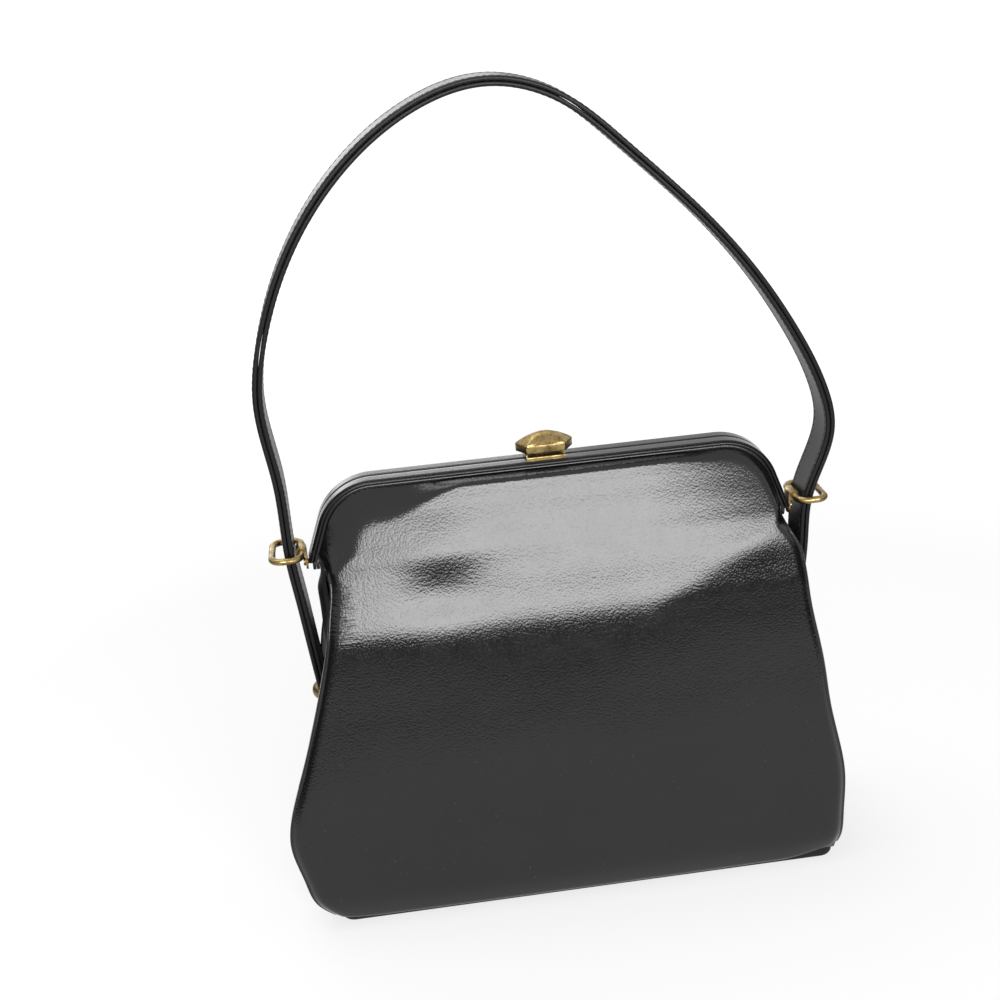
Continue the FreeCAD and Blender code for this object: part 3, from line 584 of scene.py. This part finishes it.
def gusset(side):
    """A folded end panel, drawn in to a narrow neck at the hinge."""
    name = SIDE_NAMES[side]
    heights = gusset_heights()
    loops = []
    for z, sizes in zip(heights, spline(BODY[:, 0], BODY[:, 1:], np.minimum(heights, BODY_TOP))):
        left, right, edge, _, fold = sizes
        low = ease(z, 95, 55)
        fold += FOLD_BULGE[side] * ease(z, 122, 138) * ease(z, 159, 149)
        width = (left if side == LEFT else right) - SEAM_STEP * low
        depth = edge - PANEL - SEAM_GAP - ROUND_OVER * low
        neck = NECK * math.sqrt(max(0.02, 1 - max(0.0, (z - HINGE_Z) / NECK) ** 2))
        narrowed = ease(z, NECK_FROM, NECK_FULL[side])
        depth += (neck - depth) * narrowed
        width += (fold - width) * narrowed
        bend = 2.0 - 0.5 * part_way(z, 70, 120)
        outer, inner = [], []
        for share in np.linspace(-1, 1, 61):
            y = share * depth
            x = fold + (width - fold) * abs(share) ** bend
            calm = (1 - abs(share)) * part_way(z, 0, 20) * part_way(z, 150, 130)
            x += calm * 0.8 * ripple(side * 9, y, z * 1.6, 24, 5.3 + side)
            x += calm * 0.5 * ripple(side * 5, y, z, 11, 2.2 + side)
            lift = corner_lift(side * x, z) * abs(share) ** 6
            outer.append((tuck(side * x, y, z), y, z + lift))
            inner.append((tuck(side * (x - GUSSET), y, z), y, z + lift))
        loops.append(outer + inner[::-1])
    made = tube(name + "_end_panel", loops, GUSSET_LEATHER)
    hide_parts(name + "_gusset")
    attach(made, "bag")


for side in (LEFT, RIGHT):
    gusset(side)


# Base and lining, in mm

BASE_LEFT, BASE_RIGHT, BASE_DEEP, BASE_CORNER = 112.0, 117.9, 36.4, 7.0
BASE_HOLLOW = 4.0        # how far the right end curves in
CORNER_POINTS = 12
BASE_EDGE = (            # height and inset of the base's edge, from below
    (0.0, 5.0), (0.0, 1.8), (0.25, 1.0), (1.0, 0.5), (2.2, 0.3), (4.0, 0.3), (7.0, 0.5), (7.6, 1.2), (7.6, 5.0))
LINING_GAP, LINING_WALL = 0.5, 0.8
LINING_FOOT, LINING_TOP = 4.4, 138.0


def base():
    """The shallow tray under the body, with rounded corners and its right end hollowed under the gusset."""
    left, right, deep, bend = BASE_LEFT, BASE_RIGHT, BASE_DEEP, BASE_CORNER
    corners = ((right, -deep, -90), (right, deep, 0), (-left, deep, 90), (-left, -deep, 180))
    loops = []
    for z, inset in BASE_EDGE:
        loop = []
        for x, y, start in corners:
            centre = (x - math.copysign(bend, x), y - math.copysign(bend, y))
            arc = bend_points(centre, bend - inset, start, start + 90, CORNER_POINTS)
            loop += [(px, py, z) for px, py in arc]
        shares = np.linspace(-1, 1, 17)[1:-1]
        hollow = [(right - inset - BASE_HOLLOW * (1 - s * s), s * (deep - bend), z) for s in shares]
        loops.append(loop[:CORNER_POINTS] + hollow + loop[CORNER_POINTS:])
    made = tube("base_leather", loops, GUSSET_LEATHER)
    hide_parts("base_panel")
    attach(made, "bag")


def body_ring(z, inset, count=48):
    """A closed loop round the body's inside at one height."""
    reach_left, reach_right, edge, middle, fold = spline(BODY[:, 0], BODY[:, 1:], z)[0]
    low, high = GUSSET + inset - reach_left, reach_right - GUSSET - inset
    y = edge - PANEL - inset
    run = np.linspace(-1, 1, count, endpoint=False)
    ahead = [low + (high - low) * (s + 1) / 2 for s in run]
    bow = [(middle - edge) * (1 - s * s) for s in run]
    front = [(x, -y - b, z) for x, b in zip(ahead, bow)]
    right = [(high + (fold - reach_right) * (1 - s * s), s * y, z) for s in run]
    back = [(low + high - x, y + b, z) for x, b in zip(ahead, bow)]
    left = [(low - (fold - reach_left) * (1 - s * s), -s * y, z) for s in run]
    return np.array([(tuck(x, y, z), y, z) for x, y, z in front + right + back + left])


def body_lining():
    """The cloth tub in the body: up its outside and down its inside."""
    outer = [body_ring(z, LINING_GAP) for z in np.linspace(LINING_FOOT, LINING_TOP, 60)]
    floor = LINING_FOOT + LINING_WALL
    inner = [body_ring(z, LINING_GAP + LINING_WALL) for z in np.linspace(LINING_TOP, floor, 60)]
    made = tube("body_lining_cloth", outer + inner, LINING)
    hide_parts("body_lining")
    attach(made, "bag")


base()
body_lining()


# Leather on the frame, in mm

LEG_SHARE, CORNER_SHARE = 0.12, 0.45  # shares of a half arch at which the leg and then the corner end


def arch_point(inset, place, foot):
    """A point of the frame's outline moved inwards: place 0 at the left leg end, 1 at the right one."""
    radius = FRAME_CORNER - inset
    centre_z = FRAME_TOP - FRAME_CORNER
    side = LEFT if place < 0.5 else RIGHT
    t = 1 - abs(place - 0.5) * 2
    if t < LEG_SHARE:
        rise = foot - centre_z
        low = np.array([FRAME_HALF_RUN + (radius - rise * math.sin(LEG_LEAN)) / math.cos(LEG_LEAN), foot])
        high = np.array([FRAME_HALF_RUN + radius * math.cos(LEG_LEAN), centre_z + radius * math.sin(LEG_LEAN)])
        x, z = low + (high - low) * t / LEG_SHARE
    elif t < CORNER_SHARE:
        angle = LEG_LEAN + (t - LEG_SHARE) / (CORNER_SHARE - LEG_SHARE) * (math.pi / 2 - LEG_LEAN)
        x, z = FRAME_HALF_RUN + radius * math.cos(angle), centre_z + radius * math.sin(angle)
    else:
        x, z = FRAME_HALF_RUN * (1 - (t - CORNER_SHARE) / (1 - CORNER_SHARE)), FRAME_TOP - inset
    return side * x, z


def leg_foot(inset, depth):
    """Where a leg's leather ends: at the leg's end, or round the room that the hinge lugs turn in."""
    if inset < 1.4 or depth >= LUG_ROOM:
        return LEG_END
    return max(LEG_END, HINGE_Z + math.sqrt(LUG_ROOM ** 2 - depth ** 2))


def cover_section():
    """Inset and depth of the leather's outline, round the outside and back along the steel."""
    section = [(6.0, 1.06), (6.0, 0.5), (5.8, 0.3)]
    section += [(i, 0.3) for i in (4.6, 3.2, 2.0)]
    section += bend_points((0.9, 1.2), 0.9, 270, 180, 7)
    section += [(0.0, d) for d in (2.2, 3.2, 4.2, 5.2)]
    section += bend_points((0.6, 5.85), 0.6, 180, 105, 6)
    section += [(0.72, 6.28)]
    section += bend_points((1.35, 6.45), 0.62, 175, 5, 11)
    section += [(2.08, 6.1), (2.3, 6.32), (2.7, 6.45), (3.1, 6.45)]
    section += bend_points((3.2, 6.05), 0.4, 90, 0, 4)
    section += [(i, 5.74) for i in (3.6, 2.4, 1.4)]
    section += [(0.82, d) for d in (5.3, 3.5, 1.6)]
    section += [(1.4, 1.08), (3.6, 1.08)]
    return section


def frame_leather(facing):
    """The rolled leather round one half of the frame, from leg end to leg end."""
    name = FACE_NAMES[facing]
    leg = np.linspace(0, LEG_SHARE, 9)
    corner = np.linspace(LEG_SHARE, CORNER_SHARE, 34)[1:]
    top = np.linspace(CORNER_SHARE, 1, 30)[1:]
    t = np.concatenate([leg, corner, top])
    loops = []
    for place in np.concatenate([t / 2, 1 - t[::-1][1:] / 2]):
        loop = []
        for inset, depth in cover_section():
            x, z = arch_point(inset, place, leg_foot(inset, depth))
            loop.append((x, facing * depth, z))
        loops.append(loop)
    made = tube(name + "_frame_leather", loops, FRAME_LEATHER)
    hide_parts(name + "_frame_cover")
    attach(made, name + "_frame")


for facing in (FRONT, BACK):
    frame_leather(facing)


# Strap

TIP_STRETCH = 9.3                         # length at each tip with closer steps
STRAP_DOME = 0.12                         # how far the showing face bows out in the middle
SHOULDER, SHOULDER_WIDTH = 0.5, 0.8       # depth and width of the rounding along its edges
UNDERCUT, UNDERCUT_WIDTH = 0.35, 0.5      # the same beside the glue line
STITCH_GROOVE, GROOVE_HALF = 0.22, 0.55   # depth and half width of the groove for the stitches
STITCH_END = 9.0                          # how far from the tips the stitches stop
THREAD_SINK = 0.12                        # how deep the thread lies in its groove


def strap_line():
    """Points along the strap's middle from the left tip to the right one, 2 mm apart."""
    low, ring = np.array(RIVET_AT), np.array(RING_AT)
    along = (ring - low) / np.linalg.norm(ring - low)
    tip = low - along * STRAP_HALF
    tail = np.array([tip + (ring - tip) * t for t in (0, 0.25, 0.5, 0.75, 1.0)])
    mirrored = tail * (-1, 1)
    points = np.vstack([mirrored, HANDLE, tail[::-1]])
    steps = run_along(points)
    fine = spline(steps, points, np.linspace(0, steps[-1], 4000))
    run = run_along(fine)
    length = run[-1]
    ends = np.array([0.0, 0.15, 0.45, 0.9, 1.5, 2.3, 3.3, 4.5, 6.0, 7.6])
    middle = np.linspace(TIP_STRETCH, length - TIP_STRETCH, int((length - 2 * TIP_STRETCH) / 2))
    at = np.concatenate([ends, middle, length - ends[::-1]])
    line = np.stack([np.interp(at, run, axis) for axis in fine.T], 1)
    slope = np.stack([np.interp(at, run, np.gradient(axis, run)) for axis in fine.T], 1)
    slope /= np.linalg.norm(slope, axis=1)[:, None]
    return at, length, line, slope


strap_at, strap_length, strap_points, strap_slope = strap_line()
strap_out = np.stack([-strap_slope[:, 1], strap_slope[:, 0]], 1)


def strap_half_width(s):
    """Half the strap's width, with a round end at each tip."""
    from_tip = min(s, strap_length - s)
    if from_tip >= STRAP_HALF:
        return STRAP_HALF
    return math.sqrt(max(0.05, STRAP_HALF ** 2 - (STRAP_HALF - from_tip) ** 2))


def strap_layer(name, near, far, nodes):
    """One layer between two distances from the strap's middle line, its showing face softly domed."""
    edge_shares = [0.92, 0.955, 0.985, 1]
    shares = np.concatenate([[-s for s in edge_shares[::-1]], np.linspace(-0.88, 0.88, 27), edge_shares])
    loops, marks = [], []
    for s, point, out in zip(strap_at, strap_points, strap_out):
        half = strap_half_width(s)
        outer, inner, worn = [], [], []
        for share in shares:
            y = share * half
            from_edge = half - abs(y)
            groove = STITCH_GROOVE * math.exp(-((from_edge - STITCH_IN) / GROOVE_HALF) ** 2)
            shoulder = SHOULDER * max(0.0, 1 - from_edge / SHOULDER_WIDTH) ** 2
            dome = STRAP_DOME * (1 - share * share)
            top = far - math.copysign(shoulder + groove - dome, far)
            undercut = UNDERCUT * max(0.0, 1 - from_edge / UNDERCUT_WIDTH) ** 2
            bottom = near + math.copysign(undercut, far)
            outer.append((point[0] + out[0] * top, y, point[1] + out[1] * top))
            inner.append((point[0] + out[0] * bottom, y, point[1] + out[1] * bottom))
            worn.append(0.8 * math.exp(-(from_edge / SHOULDER_WIDTH) ** 2))
        loops.append(outer + inner[::-1])
        marks.append(worn + worn[::-1])
    made = tube(name, loops, STRAP_LEATHER, worn=marks)
    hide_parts(*nodes)
    return made


def bend_with_handle(made):
    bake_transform(made)


for layer, outward in (("top", 1), ("under", -1)):
    nodes = ["handle_" + layer + "_leather", "left_strap_end_" + layer, "right_strap_end_" + layer]
    bend_with_handle(strap_layer("strap_" + layer, outward * GLUE_HALF, outward * STRAP_LAYER, nodes))


# Stitches along both edges of the strap

def stitch_tree():
    """Short thread lengths laid end to end along a curve."""
    tree = bpy.data.node_groups.new("stitch_row", "GeometryNodeTree")
    face = tree.interface
    face.new_socket("Geometry", in_out="INPUT", socket_type="NodeSocketGeometry")
    for label in ("Stitch pitch", "Stitch length", "Thread width"):
        face.new_socket(label, in_out="INPUT", socket_type="NodeSocketFloat")
    face.new_socket("Thread", in_out="INPUT", socket_type="NodeSocketMaterial")
    face.new_socket("Geometry", in_out="OUTPUT", socket_type="NodeSocketGeometry")
    enter = add(tree, "NodeGroupInput")
    leave = add(tree, "NodeGroupOutput")
    points = add(tree, "GeometryNodeCurveToPoints", mode="LENGTH")
    grain = add(tree, "GeometryNodeMeshUVSphere", Segments=7, Rings=6, Radius=0.5)
    size = add(tree, "ShaderNodeCombineXYZ")
    shape = add(tree, "GeometryNodeTransform")
    place = add(tree, "GeometryNodeInstanceOnPoints")
    real = add(tree, "GeometryNodeRealizeInstances")
    smooth = add(tree, "GeometryNodeSetShadeSmooth")
    paint = add(tree, "GeometryNodeSetMaterial")
    for source, output, target, entry in (
            (enter, "Geometry", points, "Curve"),
            (enter, "Stitch pitch", points, "Length"),
            (enter, "Thread width", size, "X"),
            (enter, "Thread width", size, "Y"),
            (enter, "Stitch length", size, "Z"),
            (grain, "Mesh", shape, "Geometry"),
            (size, "Vector", shape, "Scale"),
            (points, "Points", place, "Points"),
            (points, "Rotation", place, "Rotation"),
            (shape, "Geometry", place, "Instance"),
            (place, "Instances", real, "Geometry"),
            (real, "Geometry", smooth, "Geometry"),
            (smooth, "Geometry", paint, "Geometry"),
            (enter, "Thread", paint, "Material"),
            (paint, "Geometry", leave, "Geometry")):
        tree.links.new(source.outputs[output], target.inputs[entry])
    return tree


def grown(name, source, tree, values):
    """Runs a node tree on an object and keeps the result as a plain mesh."""
    modifier = source.modifiers.new("rows", "NODES")
    modifier.node_group = tree
    for item in tree.interface.items_tree:
        if item.in_out == "INPUT" and item.name in values:
            modifier[item.identifier] = values[item.name]
    bpy.context.view_layer.update()
    graph = bpy.context.evaluated_depsgraph_get()
    mesh = bpy.data.meshes.new_from_object(source.evaluated_get(graph), depsgraph=graph)
    mesh.name = name
    made = place_object(name, mesh)
    bpy.data.objects.remove(source)
    return made


def strap_stitches():
    """A row of stitches along each edge, on both faces."""
    curve = bpy.data.curves.new("stitch_lines", "CURVE")
    curve.dimensions = "3D"
    keep = [i for i, s in enumerate(strap_at) if STITCH_END < s < strap_length - STITCH_END]
    for face in (1, -1):
        for edge in (-1, 1):
            line = curve.splines.new("POLY")
            line.points.add(len(keep) - 1)
            for target, i in zip(line.points, keep):
                x, z = strap_points[i] + strap_out[i] * face * (STRAP_LAYER - THREAD_SINK)
                target.co = (x * MM, edge * (STRAP_HALF - STITCH_IN) * MM, z * MM, 1)
    made = grown("strap_stitches", place_object("stitch_lines", curve), stitch_tree(), {
        "Stitch pitch": 2.9 * MM, "Stitch length": 2.5 * MM, "Thread width": 0.5 * MM, "Thread": THREAD})
    bend_with_handle(made)


strap_stitches()


# Hardware, in mm

CAP_CORNERS = np.array([(-8.5, -5.6), (8.5, -5.6), (12.6, 1.5), (7.0, 6.4), (-7.0, 6.4), (-12.6, 1.5)])
CAP_LOW, CAP_CEILING, CAP_RIM, CAP_APEX = 202.3, 204.6, 206.0, 210.6
CAP_EASE = 0.6           # how far back from each corner its rounding starts
CAP_HALF, CAP_OVAL = (12.0, 6.0), (11.0, 6.2)  # half sizes, and those of the oval near the roof's top
CLASP_PIVOT = (3.2, 202.2)
KNUCKLE_RADIUS = 1.6


def cap_outline(inset, size, roundness):
    """The six-sided outline with eased corners, moved in, scaled, and drawn towards an oval."""
    count = len(CAP_CORNERS)
    loop = []
    for i in range(count):
        here, before, after = CAP_CORNERS[i], CAP_CORNERS[i - 1], CAP_CORNERS[(i + 1) % count]
        back = (before - here) / np.linalg.norm(before - here)
        ahead = (after - here) / np.linalg.norm(after - here)
        a, b = here + CAP_EASE * back, here + CAP_EASE * ahead
        loop += [(1 - t) ** 2 * a + 2 * t * (1 - t) * here + t * t * b for t in (0, 0.25, 0.5, 0.75, 1)]
        straight = np.linalg.norm(after - here) - 2 * CAP_EASE
        loop += [b + ahead * straight * t for t in np.linspace(0, 1, 9)[1:-1]]
    loop = np.array(loop) * size
    angle = np.arctan2(loop[:, 1] / CAP_HALF[1], loop[:, 0] / CAP_HALF[0])
    oval = np.stack([CAP_OVAL[0] * np.cos(angle), CAP_OVAL[1] * np.sin(angle)], 1) * size
    loop = loop + (oval - loop) * roundness
    reach = np.linalg.norm(loop, axis=1)[:, None]
    return loop * (1 - inset / np.maximum(reach, 0.01))


def thumb_cap():
    """The clasp's faceted cap: upright facets, a bowed roof, hollow below and cut away at the back."""

    def level(z, inset, size=1, roundness=0):
        return [(x, y, z) for x, y in cap_outline(inset, size, roundness)]

    def low(z, inset):
        return [(x, y, z if y < CLASP_PIVOT[0] else max(z, CAP_CEILING)) for x, y in cap_outline(inset, 1, 0)]

    loops = [level(CAP_CEILING, 0, 0.02, 0.4), level(CAP_CEILING, 0, 0.4, 0.4), level(CAP_CEILING, 1.5)]
    loops += [low(CAP_LOW + 0.2, 1.4), low(CAP_LOW, 1.2), low(CAP_LOW, 0.2), low(CAP_LOW + 0.2, 0)]
    loops += [level(CAP_CEILING + 0.3, 0), level(CAP_RIM - 0.35, 0)]
    loops += [level(CAP_RIM - 0.14, 0.08), level(CAP_RIM, 0.28)]
    for size in np.concatenate([np.linspace(0.97, 0.12, 16), [0.06, 0.015]]):
        rise = 1 - (size / 0.985) ** 1.9
        loops.append(level(CAP_RIM + rise * (CAP_APEX - CAP_RIM), 0, size, 0.75 * rise ** 2))
    made = tube("thumb_cap", loops, BRASS)
    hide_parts("clasp_cap")
    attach(made, "clasp")


def cap_knuckle():
    """The barrel under the cap that turns on the clasp's pin."""
    y, top = CLASP_PIVOT[0], CAP_CEILING + 0.2
    barrel = bend_points(CLASP_PIVOT, KNUCKLE_RADIUS, 180, 360, 17)
    profile = [(y - KNUCKLE_RADIUS, top)] + barrel + [(y + KNUCKLE_RADIUS, top)]
    loops = [[(x, py, pz) for py, pz in profile] for x in (-6.8, -3, 0, 3, 6.8)]
    made = tube("cap_knuckle", loops, BRASS)
    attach(made, "clasp")


def dress_hardware():
    """Gives each solid that still shows its own finish."""
    finishes = {
        "front_frame_channel": LACQUER, "back_frame_channel": LACQUER,
        "clasp_spring": SPRING_STEEL, "base_board": BOARD,
    }
    for name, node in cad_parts.items():
        if not node.hide_render:
            node.data.materials.clear()
            node.data.materials.append(finishes.get(name, BRASS))


thumb_cap()
cap_knuckle()
dress_hardware()


# Floor, light and camera, in metres

def stage_face(name, corners, material):
    """A four-cornered face, for the floor and the cards."""
    mesh = bpy.data.meshes.new(name)
    mesh.from_pydata(corners, [], [(0, 1, 2, 3)])
    mesh.materials.append(material)
    obj = place_object(name, mesh)
    return obj


def seen_rays(tree):
    """1 for rays that show the background: straight from the camera, mirrored or through glass."""
    rays = add(tree, "ShaderNodeLightPath")
    total = rays.outputs["Is Camera Ray"]
    for kind in ("Is Glossy Ray", "Is Transmission Ray"):
        total = worked_out(tree, "MAXIMUM", total, rays.outputs[kind])
    return total


def floor_material():
    """White floor: plain for the light that it throws, and evenly bright where it is seen."""
    material, tree, shader = new_material("white_floor")
    tree.nodes.remove(shader)
    plain = add(tree, "ShaderNodeBsdfDiffuse", Color=shade(grey(0.8)))
    dim = add(tree, "ShaderNodeBsdfDiffuse", Color=shade(grey(0.30)))
    distance = add(tree, "ShaderNodeVectorMath", operation="LENGTH")
    far = add(tree, "ShaderNodeMapRange")
    for label, value in (("From Min", 0.4), ("From Max", 1.2), ("To Min", 0.70), ("To Max", 1.0)):
        far.inputs[label].default_value = value
    glow = add(tree, "ShaderNodeEmission")
    lit = add(tree, "ShaderNodeAddShader")
    mix = add(tree, "ShaderNodeMixShader")
    for source, target in (
            (add(tree, "ShaderNodeTexCoord").outputs["Object"], distance.inputs[0]),
            (distance.outputs["Value"], far.inputs["Value"]),
            (far.outputs["Result"], glow.inputs["Strength"]),
            (dim.outputs[0], lit.inputs[0]),
            (glow.outputs[0], lit.inputs[1]),
            (seen_rays(tree), mix.inputs["Fac"]),
            (plain.outputs[0], mix.inputs[1]),
            (lit.outputs[0], mix.inputs[2]),
            (mix.outputs[0], tree.nodes["Material Output"].inputs["Surface"])):
        tree.links.new(source, target)
    return material


def studio_world():
    """Even white all round, dimmer as light than where it is seen."""
    world = bpy.data.worlds.new("studio")
    bpy.context.scene.world = world
    world.use_nodes = True
    tree = world.node_tree
    background = tree.nodes["Background"]
    background.inputs["Color"].default_value = shade(grey(1))
    level = add(tree, "ShaderNodeMapRange")
    level.inputs["To Min"].default_value = 0.35
    level.inputs["To Max"].default_value = 1.0
    tree.links.new(seen_rays(tree), level.inputs["Value"])
    tree.links.new(level.outputs["Result"], background.inputs["Strength"])


def dark_card(name, corners):
    """A black card beside the lamp, which only reflections show."""
    material, tree, shader = new_material(name)
    tree.nodes.remove(shader)
    black = add(tree, "ShaderNodeEmission", Strength=0.0)
    tree.links.new(black.outputs[0], tree.nodes["Material Output"].inputs["Surface"])
    obj = stage_face(name, corners, material)
    obj.visible_camera = obj.visible_diffuse = obj.visible_transmission = obj.visible_shadow = False


def lamp(name, place, aim, width, height, watts):
    """A flat lamp turned to a point, not seen by the camera."""
    data = bpy.data.lights.new(name, "AREA")
    data.shape = "RECTANGLE"
    data.size, data.size_y, data.energy = width, height, watts
    obj = place_object(name, data)
    obj.location = place
    obj.rotation_euler = (Vector(aim) - Vector(place)).to_track_quat("-Z", "Y").to_euler()
    obj.visible_camera = False


def camera():
    """The photograph's view, fitted to the frame and the strap."""
    yaw, rise, roll = math.radians(-5), math.radians(20.9), math.radians(-4.8)
    target, distance = Vector((-0.0211, 0, 0.1809)), 0.655
    back = Vector((math.sin(yaw) * math.cos(rise), -math.cos(yaw) * math.cos(rise), math.sin(rise)))
    right = Vector((math.cos(yaw), math.sin(yaw), 0))
    up = back.cross(right)
    turned_right = right * math.cos(roll) + up * math.sin(roll)
    turned_up = up * math.cos(roll) - right * math.sin(roll)
    data = bpy.data.cameras.new("camera")
    data.lens, data.sensor_width = 54, 36
    data.clip_start, data.clip_end = 0.01, 50
    obj = place_object("camera", data)
    obj.matrix_world = Matrix((turned_right, turned_up, back)).transposed().to_4x4()
    obj.location = target + back * distance
    bpy.context.scene.camera = obj


FLOOR = [(-40.0, -40.0, 0.0), (40.0, -40.0, 0.0), (40.0, 40.0, 0.0), (-40.0, 40.0, 0.0)]
FRONT_CARD = [(-1.4, -0.62, 0.001), (1.4, -0.62, 0.001), (1.4, -1.1, 0.13), (-1.4, -1.1, 0.13)]
SIDE_CARD_X, SIDE_CARD = 0.55, ((-0.5, 0.001), (0.6, 0.001), (0.6, 0.22), (-0.5, 0.22))
BODY_MIDDLE, BODY_LOW = (0, 0, 0.16), (0, 0, 0.1)

stage_face("floor", FLOOR, floor_material())
studio_world()
lamp("window", (0.19, -1.75, 0.51), BODY_MIDDLE, 1.12, 0.42, 10.5)
lamp("window_veil", (0.19, -1.76, 0.52), BODY_MIDDLE, 1.58, 0.76, 27.5)
lamp("back_window", (-0.35, 1.75, 0.55), BODY_MIDDLE, 1.2, 0.5, 5)
dark_card("front_card", FRONT_CARD)
for side in (LEFT, RIGHT):
    dark_card("side_card", [(side * SIDE_CARD_X, y, z) for y, z in SIDE_CARD])
lamp("overhead", (-0.45, 0.30, 1.8), BODY_LOW, 1.2, 1.2, 15)
camera()
bpy.context.scene.view_settings.view_transform = "Standard"
